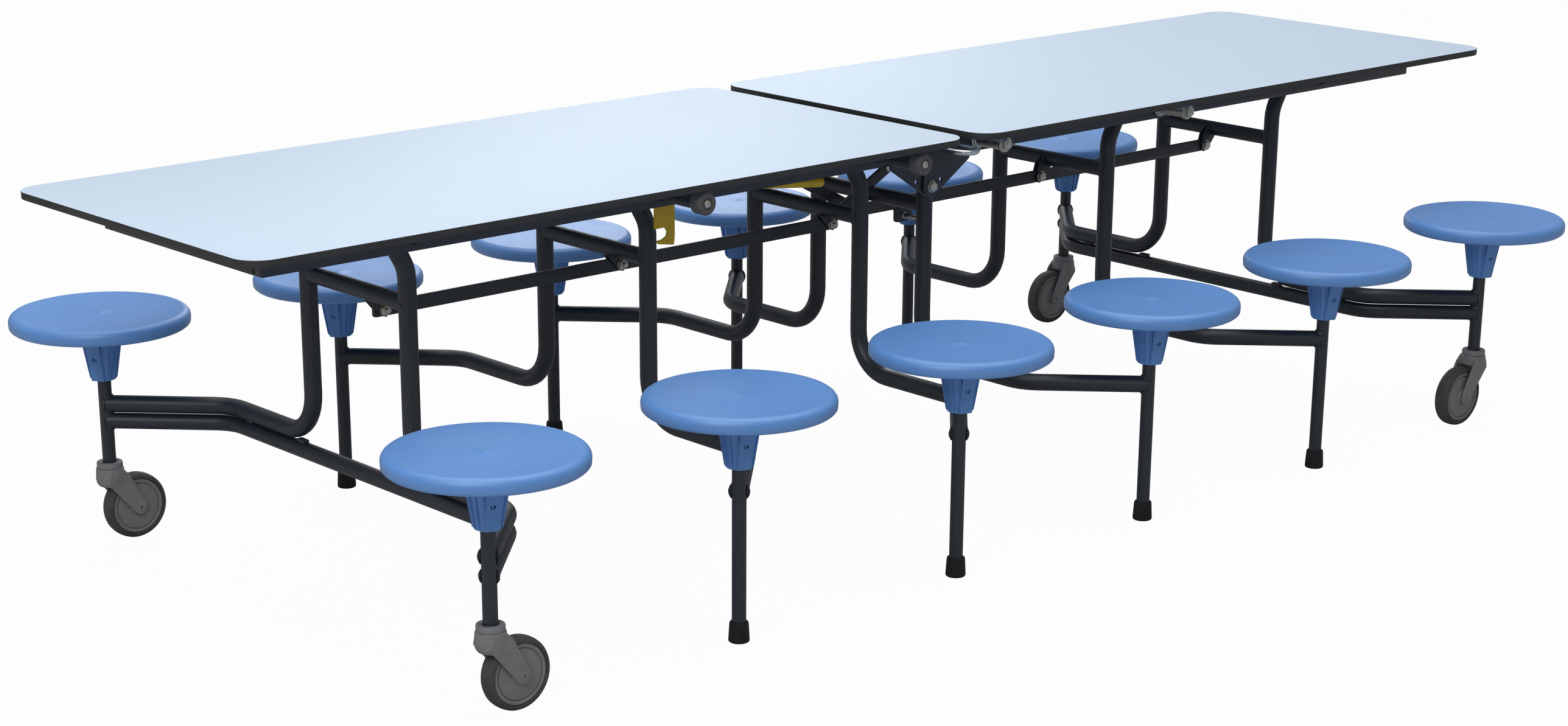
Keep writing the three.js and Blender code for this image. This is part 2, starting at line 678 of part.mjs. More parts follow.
const TYRE_SHOULDER = TYRE_DEPTH / 3;
const tyreGeometry = solid(
  turned(
    [
      [TYRE_INNER, -WHEEL_WIDTH / 2],
      [WHEEL_DIAMETER / 2 - TYRE_SHOULDER, -WHEEL_WIDTH / 2],
      [WHEEL_DIAMETER / 2, TYRE_SHOULDER - WHEEL_WIDTH / 2],
      [WHEEL_DIAMETER / 2, WHEEL_WIDTH / 2 - TYRE_SHOULDER],
      [WHEEL_DIAMETER / 2 - TYRE_SHOULDER, WHEEL_WIDTH / 2],
      [TYRE_INNER, WHEEL_WIDTH / 2],
      [TYRE_INNER, -WHEEL_WIDTH / 2],
    ],
    WHEEL_SIDES,
  ).rotateX(Math.PI / 2),
);

// Swivel fork about the post axis, its axle trailing along +X.
function forkShape(toward) {
  const axleZ = WHEEL_DIAMETER / 2;
  const crownTop = FORK_COLLAR_TOP - FORK_COLLAR_HEIGHT;
  const crownFoot = crownTop - FORK_CROWN_HEIGHT;
  const armIn = WHEEL_WIDTH / 2 + FORK_ARM_GAP;
  const armOut = armIn + FORK_ARM_THICKNESS;
  const half = FORK_CROWN_LENGTH / 2;
  const axleX = toward * CASTER_TRAIL;
  const arm = wrap([
    ...circle(FORK_BOSS_RADIUS, TUBE_SIDES, axleX, axleZ),
    new THREE.Vector2(-half, crownFoot),
    new THREE.Vector2(half, crownFoot),
    new THREE.Vector2(-half, crownTop - WELD),
    new THREE.Vector2(half, crownTop - WELD),
  ]);
  const pieces = [
    box(-half, half, -armOut, armOut, crownFoot, crownTop),
    rodZ(FORK_COLLAR_DIAMETER / 2, crownTop - WELD, FORK_COLLAR_TOP, 0, 0, BORE_SIDES),
    rodY(AXLE_DIAMETER / 2, -armOut, armOut, axleX, axleZ),
  ];
  for (const row of Object.values(ROWS)) {
    pieces.push(plate(arm, ...between(row * armIn, row * armOut)));
  }
  const floor = FORK_COLLAR_TOP - FORK_STEM_DEPTH;
  return cut(join(pieces), [rodZ(SOCKET_BORE, floor, FORK_COLLAR_TOP + WELD, 0, 0, BORE_SIDES)]);
}

function caster(side, row) {
  const toward = -SIGN[side];
  const group = new THREE.Group();
  group.add(mesh(`${side}_${row}_caster_fork`, forkShape(toward), MATERIAL.caster));
  const axle = new THREE.Group();
  axle.position.set(toward * CASTER_TRAIL, 0, WHEEL_DIAMETER / 2);
  axle.add(mesh(`${side}_${row}_caster_wheel`, wheelGeometry, MATERIAL.caster));
  axle.add(mesh(`${side}_${row}_caster_tyre`, tyreGeometry, MATERIAL.tyre));
  group.add(axle);
  return group;
}

function frameGroup(side, place) {
  const sign = SIGN[side];
  const group = new THREE.Group();
  group.position.x = sign * LEG_X[place];
  group.add(legFrame(side, place));
  for (const [row, way] of Object.entries(ROWS)) {
    const isEnd = place === 'end';
    const seat = mesh(`${side}_${place}_${row}_seat`, seatGeometry, MATERIAL.seat);
    const height = SEAT_HEIGHT + (isEnd ? END_SEAT_RISE : 0);
    seat.position.set(sign * POST_OFFSET, way * POST_Y, height);
    group.add(seat);
    const under = isEnd
      ? caster(side, row)
      : mesh(`${side}_${place}_${row}_foot`, footGeometry, MATERIAL.rubber);
    under.position.set(sign * POST_OFFSET, way * POST_Y, 0);
    group.add(under);
  }
  return group;
}

// Flat bar bolted to the three brackets of one half.
function linkBar(side) {
  const sign = SIGN[side];
  const y = BAR_Y[side];
  const span = between(y - BAR_THICKNESS / 2, y + BAR_THICKNESS / 2);
  const bolts = Object.values(LEG_X).map((x) => sign * (x - BAR_BOLT_REACH));
  const innerEnd = bolts[0] - sign * BAR_END;
  const outerEnd = bolts[2] + sign * BAR_END;
  const low = BAR_BOLT_Z - BAR_HEIGHT / 2;
  const pieces = [box(innerEnd, outerEnd, ...span, low, BAR_BOLT_Z + BAR_HEIGHT / 2)];
  if (side === 'right') {
    const start = bolts[0] + LOCK_PLATE_REACH;
    const end = start + LOCK_PLATE_LENGTH;
    const lip = LOCK_PLATE_LENGTH / 4;
    const lock = wrap([
      new THREE.Vector2(start, low + WELD),
      new THREE.Vector2(end, low + WELD),
      new THREE.Vector2(end - lip / 2, low - LOCK_PLATE_DROP),
      new THREE.Vector2(start + lip, low - LOCK_PLATE_DROP),
    ]);
    pieces.push(plate(lock, ...span));
    const pinX = end - LOCK_PIN_INSET;
    const pinZ = low - LOCK_PIN_DROP;
    pieces.push(rodY(LOCK_PIN_DIAMETER / 2, span[0] - LOCK_PIN_LENGTH, span[1], pinX, pinZ));
  }
  const hole = [span[0] - WELD, span[1] + WELD];
  const holes = bolts.map((x) =>
    rodY(LINK_BOLT_DIAMETER / 2 + PLATE_GAP, ...hole, x, BAR_BOLT_Z, BORE_SIDES),
  );
  return mesh(`${side}_link_bar`, cut(join(pieces), holes), MATERIAL.frame);
}

// Strut from the inner frame's bolt across the centre to the other half's lug.
function strut(side) {
  const sign = SIGN[side];
  const span = between(strutNear(side), strutFar(side));
  const lowX = sign * (LEG_X.inner - BAR_BOLT_REACH);
  const topX = -sign * STRUT_TOP_X;
  const outline = wrap([
    ...circle(STRUT_WIDTH / 2, SHAFT_SIDES, lowX, BAR_BOLT_Z),
    ...circle(STRUT_WIDTH / 2, SHAFT_SIDES, topX, STRUT_TOP_Z),
  ]);
  const hole = [span[0] - WELD, span[1] + WELD];
  const cuts = [
    rodY(LINK_BOLT_DIAMETER / 2 + PLATE_GAP, ...hole, lowX, BAR_BOLT_Z, BORE_SIDES),
    rodY(LUG_HOLE_DIAMETER / 2, ...hole, topX, STRUT_TOP_Z),
  ];
  return mesh(`${side}_cross_strut`, cut(plate(outline, ...span), cuts), MATERIAL.frame);
}

// Lift loop: a U of round rod standing out from the front hinge plate.
function liftLoop() {
  const rootY = -HINGE_STACK_Y - SEAT_GAP;
  const endY = rootY - LOOP_REACH;
  const nearX = LOOP_CENTRE_X - LOOP_WIDTH / 2;
  const farX = LOOP_CENTRE_X + LOOP_WIDTH / 2;
  const corners = [
    new THREE.Vector3(nearX, rootY, PIVOT_Z),
    new THREE.Vector3(nearX, endY, PIVOT_Z),
    new THREE.Vector3(farX, endY, PIVOT_Z),
    new THREE.Vector3(farX, rootY, PIVOT_Z),
  ];
  const points = bentPoints(corners, [LOOP_CORNER_RADIUS, LOOP_CORNER_RADIUS]);
  return mesh('lift_loop', tube(points, LOOP_ROD_DIAMETER), MATERIAL.chrome);
}

// Safety hook plate: a hub round the middle left pivot rod and a notched beak below it.
// Outline points of the beak, measured from the pivot axis.
const HOOK_BEAK = [
  [14, -72],
  [14, -17],
  [-14, -8],
  [4, 17],
  [52, 8],
  [60, -14],
  [60, -90],
  [53, -102],
  [38, -107],
  [22, -101],
  [19, -94],
  [31, -93],
  [41, -88],
  [43, -80],
  [37, -72],
];

function safetyHook() {
  const pivotX = SIGN.left * (LEG_X.middle + PIVOT_OFFSET);
  const span = [HOOK_Y - HOOK_THICKNESS / 2, HOOK_Y + HOOK_THICKNESS / 2];
  const beak = HOOK_BEAK.map(([x, z]) => new THREE.Vector2(pivotX + x, PIVOT_Z + z));
  const hub = rodY(BORE_RADIUS + HOOK_HUB_WALL, ...span, pivotX, PIVOT_Z, BORE_SIDES);
  const bore = rodY(BORE_RADIUS, span[0] - WELD, span[1] + WELD, pivotX, PIVOT_Z, BORE_SIDES);
  return mesh('safety_hook', cut(join([hub, plate(beak, ...span)]), [bore]), MATERIAL.yellow);
}

// Release handle: a bent rod beside the hook plate, with a yellow grip over its free end.
function handlePoints(extra) {
  const pivotX = SIGN.left * (LEG_X.middle + PIVOT_OFFSET);
  const y = HOOK_Y + HOOK_THICKNESS / 2 + SEAT_GAP + HANDLE_ROD_DIAMETER / 2;
  const bend = new THREE.Vector3(pivotX + HANDLE_BEND_X, y, PIVOT_Z - HANDLE_BEND_DROP);
  const end = new THREE.Vector3(pivotX + HANDLE_REACH, y, PIVOT_Z - HANDLE_DROP);
  const along = end.clone().sub(bend).normalize();
  const start = new THREE.Vector3(pivotX + HANDLE_START, y, PIVOT_Z);
  return { start, bend, end: end.addScaledVector(along, extra), along };
}

function releaseHandle() {
  const { start, bend, end } = handlePoints(0);
  const points = bentPoints([start, bend, end], [HANDLE_BEND_RADIUS]);
  return mesh('release_handle', tube(points, HANDLE_ROD_DIAMETER), MATERIAL.frame);
}

function handleGrip() {
  const { end, along } = handlePoints(GRIP_END);
  const run = Math.min(GRIP_LENGTH, end.distanceTo(handlePoints(0).bend));
  const start = end.clone().addScaledVector(along, -run);
  const hollowEnd = end.clone().addScaledVector(along, SEAT_GAP - GRIP_END);
  const hollowStart = start.clone().addScaledVector(along, -WELD);
  const skin = tube([start, end], GRIP_DIAMETER);
  const hollow = tube([hollowStart, hollowEnd], HANDLE_ROD_DIAMETER + 2 * SEAT_GAP);
  return mesh('handle_grip', cut(skin, [hollow]), MATERIAL.yellow);
}

for (const side of Object.keys(SIGN)) {
  const half = new THREE.Group();
  half.add(tabletop(side));
  half.add(underframe(side));
  for (const place of Object.keys(LEG_X)) {
    half.add(frameGroup(side, place));
  }
  for (const place of ['inner', 'middle']) {
    const x = SIGN[side] * (LEG_X[place] + PIVOT_OFFSET);
    const name = `${side}_${place}_pivot_rod`;
    half.add(side === 'left' ? bumperRod(name, x) : flangedRod(name, x));
    if (side === 'left') {
      for (const [row, way] of Object.entries(ROWS)) {
        half.add(bumper(`${side}_${place}_${row}_bumper`, x, way));
      }
    }
  }
  half.add(linkBar(side));
  half.add(strut(side));
  table.add(half);
}
for (const row of Object.keys(ROWS)) {
  table.add(hingeBolt(row));
}
table.add(liftLoop());
table.add(safetyHook());
table.add(releaseHandle());
table.add(handleGrip());

export default table;
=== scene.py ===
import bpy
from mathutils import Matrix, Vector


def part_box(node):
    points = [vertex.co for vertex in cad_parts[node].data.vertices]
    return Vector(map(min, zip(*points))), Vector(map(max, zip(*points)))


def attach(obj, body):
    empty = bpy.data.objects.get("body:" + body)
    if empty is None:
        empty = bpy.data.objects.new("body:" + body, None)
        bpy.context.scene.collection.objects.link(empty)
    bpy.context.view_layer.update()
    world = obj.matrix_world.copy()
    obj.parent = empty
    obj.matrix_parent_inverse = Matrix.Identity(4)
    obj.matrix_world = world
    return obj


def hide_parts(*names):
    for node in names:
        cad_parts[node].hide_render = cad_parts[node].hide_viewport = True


bl_info = {
    "name": "Folding cafeteria table",
    "version": (1, 0, 0),
    "blender": (4, 5, 0),
    "location": "View3D > Sidebar > Table",
    "description": "Models the looks of a folding cafeteria table with twelve stools",
    "category": "Object",
}

import math
from itertools import product
from typing import NamedTuple

import bmesh
import bpy
from bpy.props import FloatProperty, FloatVectorProperty, IntProperty, PointerProperty
from mathutils import Vector

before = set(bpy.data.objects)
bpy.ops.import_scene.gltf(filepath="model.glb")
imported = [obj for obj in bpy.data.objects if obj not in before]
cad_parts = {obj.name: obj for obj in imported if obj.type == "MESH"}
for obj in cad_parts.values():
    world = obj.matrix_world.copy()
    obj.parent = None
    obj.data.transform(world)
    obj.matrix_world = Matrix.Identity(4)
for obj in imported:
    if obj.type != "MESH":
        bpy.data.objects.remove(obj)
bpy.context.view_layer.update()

SIGN = {"left": -1, "right": 1}
ROWS = {"front": -1, "rear": 1}
PLACES = ("inner", "middle", "end")
FULL_TURN = 2 * math.pi

# Where the frame's parts stand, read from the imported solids.
TOP_LOW, TOP_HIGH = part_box("right_tabletop")
RAIL_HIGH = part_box("right_underframe")[1]
RAIL_TOP = RAIL_HIGH.z
ROD_LOW, ROD_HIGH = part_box("left_inner_pivot_rod")
PIVOT_Z = (ROD_LOW.z + ROD_HIGH.z) / 2
INNER_PIVOT_X = -(ROD_LOW.x + ROD_HIGH.x) / 2
MIDDLE_PIVOT_X = -sum(v.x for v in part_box("left_middle_pivot_rod")) / 2
PITCH = MIDDLE_PIVOT_X - INNER_PIVOT_X
PIVOT_X = {"inner": INNER_PIVOT_X, "middle": MIDDLE_PIVOT_X, "end": MIDDLE_PIVOT_X + PITCH}

# Places that several pieces share, in metres.
LEG_SETBACK = 0.044  # from a pivot to the upright run of its legs, along the table
LEG_Y = 0.15
BOLT_REACH = 0.026  # from the legs to the bolt of a link bar, along the table
BOLT_DROP = 0.034  # from a cross tube down to that bolt
BAR_Y = {"left": -0.037, "right": 0.015}
RAIL_Y = 0.243  # outer face of the long rails
HINGE_Z = 0.63
LUG_X, LUG_Z = 0.105, 0.619  # upper end of a strut
CASTER_TRAIL = 0.047  # from a caster's upright axis to its axle

# Radii of holes and fasteners, in metres.
ROD_HOLE = 0.0136
LINK_HOLE = 0.0055
BOLT_RADIUS = 0.005
BOLT_ACROSS = 0.017  # across the flats of a bolt head or nut


def srgb(red, green, blue):
    """A colour given in screen values, as the linear values that shaders use."""
    shares = (red / 255, green / 255, blue / 255)
    return tuple(c / 12.92 if c <= 0.04045 else ((c + 0.055) / 1.055) ** 2.4 for c in shares)


def length(name, description, default):
    kind = {"unit": "LENGTH", "subtype": "DISTANCE", "precision": 4}
    return FloatProperty(name=name, description=description, default=default, **kind)


def colour(name, description, default):
    kind = {"size": 3, "min": 0, "max": 1, "subtype": "COLOR"}
    return FloatVectorProperty(name=name, description=description, default=default, **kind)


class TableSizes(bpy.types.PropertyGroup):
    """Sizes of the table's parts, in metres."""

    corner_radius: length("Corner radius", "Radius of the table tops' corners", 0.05)
    edge_round: length("Edge round", "Round along the rims of the table tops", 0.0012)
    rail_height: length("Rail height", "Height of the rails under the tops", 0.049)
    rail_width: length("Rail width", "Width of the rails under the tops", 0.025)
    rail_round: length("Rail round", "Corner round of the rectangular tube", 0.003)
    leg_diameter: length("Leg diameter", "Diameter of the bent leg tube", 0.032)
    post_diameter: length("Post diameter", "Diameter of the stool posts", 0.025)
    lower_diameter: length("Lower tube diameter", "Diameter of the tube under the end frames' arms", 0.03)
    cross_diameter: length("Cross tube diameter", "Diameter of the tube between two legs", 0.03)
    arm_height: length("Arm height", "Height of the stool arms above the floor", 0.268)
    cross_height: length("Cross tube height", "Height of the cross tubes above the floor", 0.567)
    weld_thickness: length("Weld thickness", "Half thickness of the weld beads", 0.0024)
    rod_diameter: length("Rod diameter", "Diameter of the pivot rods", 0.026)
    bar_height: length("Bar height", "Height of the flat link bars", 0.025)
    bar_thickness: length("Bar thickness", "Thickness of the flat link bars", 0.006)
    strut_width: length("Strut width", "Width of the crossing struts", 0.022)
    seat_diameter: length("Seat diameter", "Diameter of a stool top", 0.33)
    seat_wall: length("Seat wall", "Wall thickness of the stool moulding", 0.006)
    wheel_diameter: length("Wheel diameter", "Diameter of a caster wheel over its tyre", 0.125)
    wheel_width: length("Wheel width", "Width of a caster tyre", 0.032)
    tube_sides: IntProperty(name="Tube sides", description="Faces round a tube", default=28, min=8, max=64)


class TableColours(bpy.types.PropertyGroup):
    """Colours of the table's finishes."""

    laminate: colour("Laminate", "Face of the table tops", srgb(204, 222, 240))
    core: colour("Laminate core", "Dark core that shows along the rims", srgb(46, 46, 48))
    powder_coat: colour("Powder coat", "Charcoal coating of the steel frame", srgb(32, 39, 47))
    seat: colour("Seat plastic", "Moulded stool tops", srgb(96, 150, 220))
    # Rubber also colours the plugs in the stools' screw holes, which are painted shade of those holes.
    rubber: colour("Rubber", "Feet and socket screws", srgb(26, 26, 28))
    bumper: colour("Bumper", "Bumper rollers on the left pivot rods", srgb(88, 86, 84))
    zinc: colour("Zinc", "Plated rods, bolts and nuts", srgb(196, 196, 192))
    chrome: colour("Chrome", "Lift loop", srgb(226, 228, 230))
    yellow: colour("Yellow", "Safety hook and release grip", srgb(222, 184, 12))
    caster: colour("Caster plastic", "Forks and wheels of the casters", srgb(132, 133, 134))
    tyre: colour("Tyre", "Soft tread of the casters", srgb(74, 74, 75))


# Finishes.


class NodeTree:
    """Adds nodes to a node tree and links them."""

    def __init__(self, tree):
        self.tree = tree
        tree.nodes.clear()

    def node(self, kind, settings=None, inputs=None, output=0):
        """Adds a node and gives one of its outputs."""
        made = self.tree.nodes.new(kind)
        for key, value in (settings or {}).items():
            setattr(made, key, value)
        for key, value in (inputs or {}).items():
            if isinstance(value, bpy.types.NodeSocket):
                self.tree.links.new(value, made.inputs[key])
            else:
                made.inputs[key].default_value = value
        return made.outputs[output] if len(made.outputs) else None

    def noise(self, grain):
        coords = self.node("ShaderNodeTexCoord", output="Object")
        place = self.node("ShaderNodeMapping", {}, {"Vector": coords, "Scale": grain.stretch})
        pattern = {"Scale": grain.scale, "Detail": grain.detail, "Roughness": grain.roughness}
        return self.node("ShaderNodeTexNoise", {}, {"Vector": place, **pattern})

    def span(self, grain, low, high):
        """The middle of a grain's noise, stretched to run from low to high."""
        source = {"Value": self.noise(grain), "From Min": 0.3, "From Max": 0.7}
        return self.node("ShaderNodeMapRange", {}, {**source, "To Min": low, "To Max": high})

    def blend(self, factor, first, second):
        return self.node("ShaderNodeMix", {"data_type": "RGBA"}, {0: factor, 6: first, 7: second}, 2)

    def line(self, value, gain, base):
        """A value times a gain, on top of a base."""
        return self.node("ShaderNodeMath", {"operation": "MULTIPLY_ADD"}, {0: value, 1: gain, 2: base})


class Grain(NamedTuple):
    """A noise pattern over a piece."""

    scale: float
    detail: float
    roughness: float = 0.5
    stretch: tuple = (1, 1, 1)


class Fleck(NamedTuple):
    """A further share of a finish's colour, laid over it by a grain that runs between two weights."""

    share: float
    grain: Grain
    low: float = 0.0
    high: float = 1.0


class Finish(NamedTuple):
    """How a material is worked out of one of the table's colours.

    The colour is mottled between two shares of itself, given as one number or one for each channel.
    The roughness runs between two values, and the relief has a strength and a depth in metres.
    """

    colour: str
    first: float | tuple
    second: float | tuple
    mottle: Grain
    smoothest: float
    roughest: float
    sheen: Grain
    strength: float
    depth: float
    relief: Grain
    fleck: Fleck | None = None
    metallic: float = 0.0
    level: float = 0.5


FINISHES = {
    "table_laminate": Finish(
        "laminate", 0.985, 1.015, Grain(2.4, 3),
        0.48, 0.56, Grain(45, 4),
        0.06, 0.0004, Grain(700, 3),
        Fleck(1.02, Grain(900, 3)), level=0.2,
    ),
    "laminate_core": Finish(
        "core", 0.7, 1.35, Grain(1.0, 4, stretch=(8, 8, 900)),
        0.42, 0.6, Grain(1.0, 3, stretch=(20, 20, 600)),
        0.25, 0.0006, Grain(1.0, 3, stretch=(40, 40, 900)),
    ),
    "powder_coat": Finish(
        "powder_coat", 0.86, 1.05, Grain(14, 3),
        0.36, 0.46, Grain(60, 4),
        0.22, 0.0006, Grain(1100, 2),
        Fleck(1.3, Grain(1400, 2)), level=0.6,
    ),
    "seat_plastic": Finish(
        "seat", 0.95, 1.03, Grain(9, 3),
        0.34, 0.44, Grain(120, 4),
        0.35, 0.0007, Grain(950, 3, 0.6),
        Fleck(1.07, Grain(800, 3)), level=0.8,
    ),
    # Ribs and screw panels under the seat: the seat's own colour set darker (0.86 to 1.0 against 0.95 to
    # 1.03) as painted shade of the underside; the streaky mottle, roughness and relief are the moulding's
    # own.
    "socket_plastic": Finish(
        "seat", 0.86, 1.0, Grain(4.0, 3, stretch=(20, 20, 6)),
        0.3, 0.44, Grain(90, 3),
        0.08, 0.0005, Grain(300, 2), level=0.45,
    ),
    "black_rubber": Finish(
        "rubber", 0.8, 1.5, Grain(70, 5),
        0.62, 0.82, Grain(150, 3),
        0.3, 0.0008, Grain(600, 4), level=0.4,
    ),
    "bumper_rubber": Finish(
        "bumper", 0.8, 1.25, Grain(90, 5),
        0.5, 0.7, Grain(150, 3),
        0.25, 0.0007, Grain(700, 4), level=0.4,
    ),
    "zinc_plate": Finish(
        "zinc", (0.9, 0.95, 1.0), (1.0, 0.94, 0.78), Grain(55, 4),
        0.22, 0.42, Grain(1.0, 4, stretch=(300, 60, 300)),
        0.12, 0.0004, Grain(1.0, 3, stretch=(700, 120, 700)), metallic=1.0,
    ),
    "chrome_rod": Finish(
        "chrome", 0.92, 1.0, Grain(40, 3),
        0.07, 0.16, Grain(260, 4),
        0.04, 0.0003, Grain(400, 3), metallic=1.0,
    ),
    "yellow_paint": Finish(
        "yellow", 0.84, 1.04, Grain(60, 5),
        0.36, 0.5, Grain(90, 3),
        0.25, 0.0006, Grain(900, 2),
    ),
    "yellow_vinyl": Finish(
        "yellow", 0.99, 1.144, Grain(50, 4),
        0.24, 0.36, Grain(130, 3),
        0.08, 0.0005, Grain(350, 2),
    ),
    "caster_plastic": Finish(
        "caster", 0.9, 1.06, Grain(30, 4),
        0.45, 0.6, Grain(110, 4),
        0.3, 0.0006, Grain(800, 3),
        Fleck(0.62, Grain(1.0, 5, 0.7, (60, 60, 220)), -0.9, 0.6),
    ),
    "tyre_rubber": Finish(
        "tyre", 0.68, 1.12, Grain(1.0, 5, 0.65, (90, 25, 90)),
        0.58, 0.78, Grain(140, 3),
        0.3, 0.0008, Grain(650, 3),
    ),
}


# The finish of a piece that isn't painted by name, by its slot.
SLOT_FINISH = {
    "frame": "powder_coat",
    "zinc": "zinc_plate",
    "chrome": "chrome_rod",
    "rubber": "black_rubber",
    "caster": "caster_plastic",
    "tyre": "tyre_rubber",
    "yellow": "yellow_paint",
    "yellow_grip": "yellow_vinyl",
}


def colours():
    return bpy.context.scene.table_colours


def sizes():
    return bpy.context.scene.table_sizes


def tone(shade, share):
    """A colour with alpha, lighter or darker by a share, or by a share for each channel."""
    shares = share if isinstance(share, tuple) else (share, share, share)
    return (*(min(1.0, c * k) for c, k in zip(shade, shares)), 1)


def finish(name):
    """The material of a finish, made when it is first asked for."""
    material = bpy.data.materials.get(name)
    if material:
        return material
    plan = FINISHES[name]
    shade = getattr(colours(), plan.colour)
    material = bpy.data.materials.new(name)
    material.use_nodes = True
    tree = NodeTree(material.node_tree)
    base = tree.blend(tree.span(plan.mottle, 0.0, 1.0), tone(shade, plan.first), tone(shade, plan.second))
    if plan.fleck:
        weight = tree.span(plan.fleck.grain, plan.fleck.low, plan.fleck.high)
        base = tree.blend(weight, base, tone(shade, plan.fleck.share))
    relief = {"Height": tree.noise(plan.relief), "Strength": plan.strength, "Distance": plan.depth}
    shader = tree.node(
        "ShaderNodeBsdfPrincipled",
        {},
        {
            "Base Color": base,
            "Roughness": tree.span(plan.sheen, plan.smoothest, plan.roughest),
            "Metallic": plan.metallic,
            "Specular IOR Level": plan.level,
            "Normal": tree.node("ShaderNodeBump", {}, relief),
        },
    )
    tree.node("ShaderNodeOutputMaterial", {}, {"Surface": shader})
    return material


# Modelling steps.


def bare():
    """Object mode with nothing selected."""
    if bpy.context.mode != "OBJECT":
        bpy.ops.object.mode_set(mode="OBJECT")
    bpy.ops.object.select_all(action="DESELECT")


def pick(*pieces):
    """Selects pieces, the first of them active."""
    bare()
    for piece in pieces:
        piece.select_set(True)
    bpy.context.view_layer.objects.active = pieces[0]


def edit_mode():
    bpy.ops.object.mode_set(mode="EDIT")


def select_all():
    bpy.ops.mesh.select_all(action="SELECT")


def apply_place():
    bpy.ops.object.transform_apply(location=True, rotation=True, scale=True)


def push(step):
    bpy.ops.mesh.extrude_region_move(TRANSFORM_OT_translate={"value": step})


def closed():
    """Merges doubles, turns the faces outwards and leaves edit mode."""
    select_all()
    bpy.ops.mesh.remove_doubles(threshold=1e-5)
    bpy.ops.mesh.normals_make_consistent(inside=False)
    bpy.ops.object.mode_set(mode="OBJECT")
    return bpy.context.object


def select_edges(piece, test):
    """Edit mode with the edges selected whose two ends pass the test."""
    pick(piece)
    edit_mode()
    bpy.ops.mesh.select_mode(type="EDGE")
    bpy.ops.mesh.select_all(action="DESELECT")
    work = bmesh.from_edit_mesh(piece.data)
    for edge in work.edges:
        edge.select_set(test(edge.verts[0].co, edge.verts[1].co))
    work.select_flush_mode()
    bmesh.update_edit_mesh(piece.data)


def round_edges(piece, test, width, segments=2):
    select_edges(piece, test)
    bpy.ops.mesh.bevel(offset=width, segments=segments, affect="EDGES", clamp_overlap=True)
    bpy.ops.mesh.select_mode(type="VERT")
    return closed()


def facing(way):
    """The rotation that turns the upright axis along a direction."""
    return way.to_track_quat("Z", "Y").to_euler()


def trace(points):
    """A line of edges through points, left in edit mode."""
    bare()
    bpy.ops.mesh.primitive_plane_add(size=0.01)
    edit_mode()
    bpy.ops.mesh.select_mode(type="VERT")
    bpy.ops.mesh.merge(type="CENTER")
    select_all()
    bpy.ops.transform.translate(value=points[0])
    for here, there in zip(points, points[1:]):
        push(there - here)


def turned(profile, centre, axis=(0, 0, 1), steps=48):
    """A closed shape turned about an axis from (radius, height) pairs."""
    centre, axis = Vector(centre), Vector(axis)
    side = axis.orthogonal().normalized()
    trace([centre + axis * h + side * r for r, h in profile])
    select_all()
    bpy.ops.mesh.spin(steps=steps, angle=FULL_TURN, center=centre, axis=axis)
    return closed()


def on_levels(way, *levels):
    """A test for edges that lie at one of these distances along a direction."""
    return lambda a, b: any(max(abs(p.dot(way) - level) for p in (a, b)) < 1e-5 for level in levels)


def plate(outline, thickness, width, segments=2):
    """A flat sheet from outline points, extruded by thickness, its rims rounded."""
    trace(outline)
    select_all()
    bpy.ops.mesh.edge_face_add()
    push(thickness)
    piece = closed()
    way = thickness.normalized()
    level = outline[0].dot(way)
    return round_edges(piece, on_levels(way, level, level + thickness.length), width, segments)


def side_plate(outline, y0, y1, width):
    """A sheet that stands in the table's length, between two planes across it."""
    return plate([Vector((x, y0, z)) for x, z in outline], Vector((0, y1 - y0, 0)), width)


def block(low, high, width=0.003, segments=3):
    """A box between two corners with all its edges rounded."""
    low, high = Vector(low), Vector(high)
    bare()
    bpy.ops.mesh.primitive_cube_add(size=1, location=(low + high) / 2, scale=[abs(c) for c in high - low])
    apply_place()
    return round_edges(bpy.context.object, lambda a, b: True, width, segments)


def pipe(corners, bends, radius, sides=None, step=math.radians(9)):
    """A round bar along straight runs, with a bend of its own radius at each inner corner."""
    corners = [Vector(c) for c in corners]
    way = (corners[1] - corners[0]).normalized()
    bare()
    bpy.ops.mesh.primitive_circle_add(
        vertices=sides or sizes().tube_sides, radius=radius, fill_type="NOTHING", location=corners[0],
        rotation=facing(way),
    )
    apply_place()
    edit_mode()
    bpy.ops.mesh.select_mode(type="VERT")
    select_all()
    at = corners[0]
    for here, after, bend in zip(corners[1:-1], corners[2:], bends):
        into, out = (here - at).normalized(), (after - here).normalized()
        turn = into.angle(out)
        reach = bend * math.tan(turn / 2)
        start = here - into * reach
        inward = (out - into * into.dot(out)).normalized()
        push(start - at)
        bpy.ops.mesh.spin(
            steps=max(3, round(turn / step)), angle=-turn, center=start + inward * bend,
            axis=into.cross(out).normalized(),
        )
        at = here + out * reach
    push(corners[-1] - at)
    select_all()
    bpy.ops.mesh.fill_holes(sides=0)
    return closed()


def rod(radius, start, end, chamfer=0.001, steps=32, bore=0.0):
    """A turned bar from start to end with chamfered ends, with a bore where one is given."""
    start, end = Vector(start), Vector(end)
    run = (end - start).length
    inner = radius - chamfer
    profile = [(bore, 0), (inner, 0), (radius, chamfer), (radius, run - chamfer), (inner, run), (bore, run)]
    if bore:
        profile.append((bore, 0))
    return turned(profile, start, (end - start).normalized(), steps)


def crossbar(radius, x, z, y0, y1, chamfer=0.001, steps=32, bore=0.0):
    """A turned bar that lies across the table from y0 to y1."""
    return rod(radius, (x, y0, z), (x, y1, z), chamfer, steps, bore)


def hexagon(centre, axis, across, height):
    """A bolt head or nut that stands on centre, its far corners turned down."""
    centre, axis = Vector(centre), Vector(axis)
    bare()
    bpy.ops.mesh.primitive_cylinder_add(
        vertices=6, radius=across / math.sqrt(3), depth=height, location=centre + axis * height / 2,
        rotation=facing(axis),
    )
    apply_place()
    return round_edges(bpy.context.object, on_levels(axis, centre.dot(axis) + height), 0.0012)


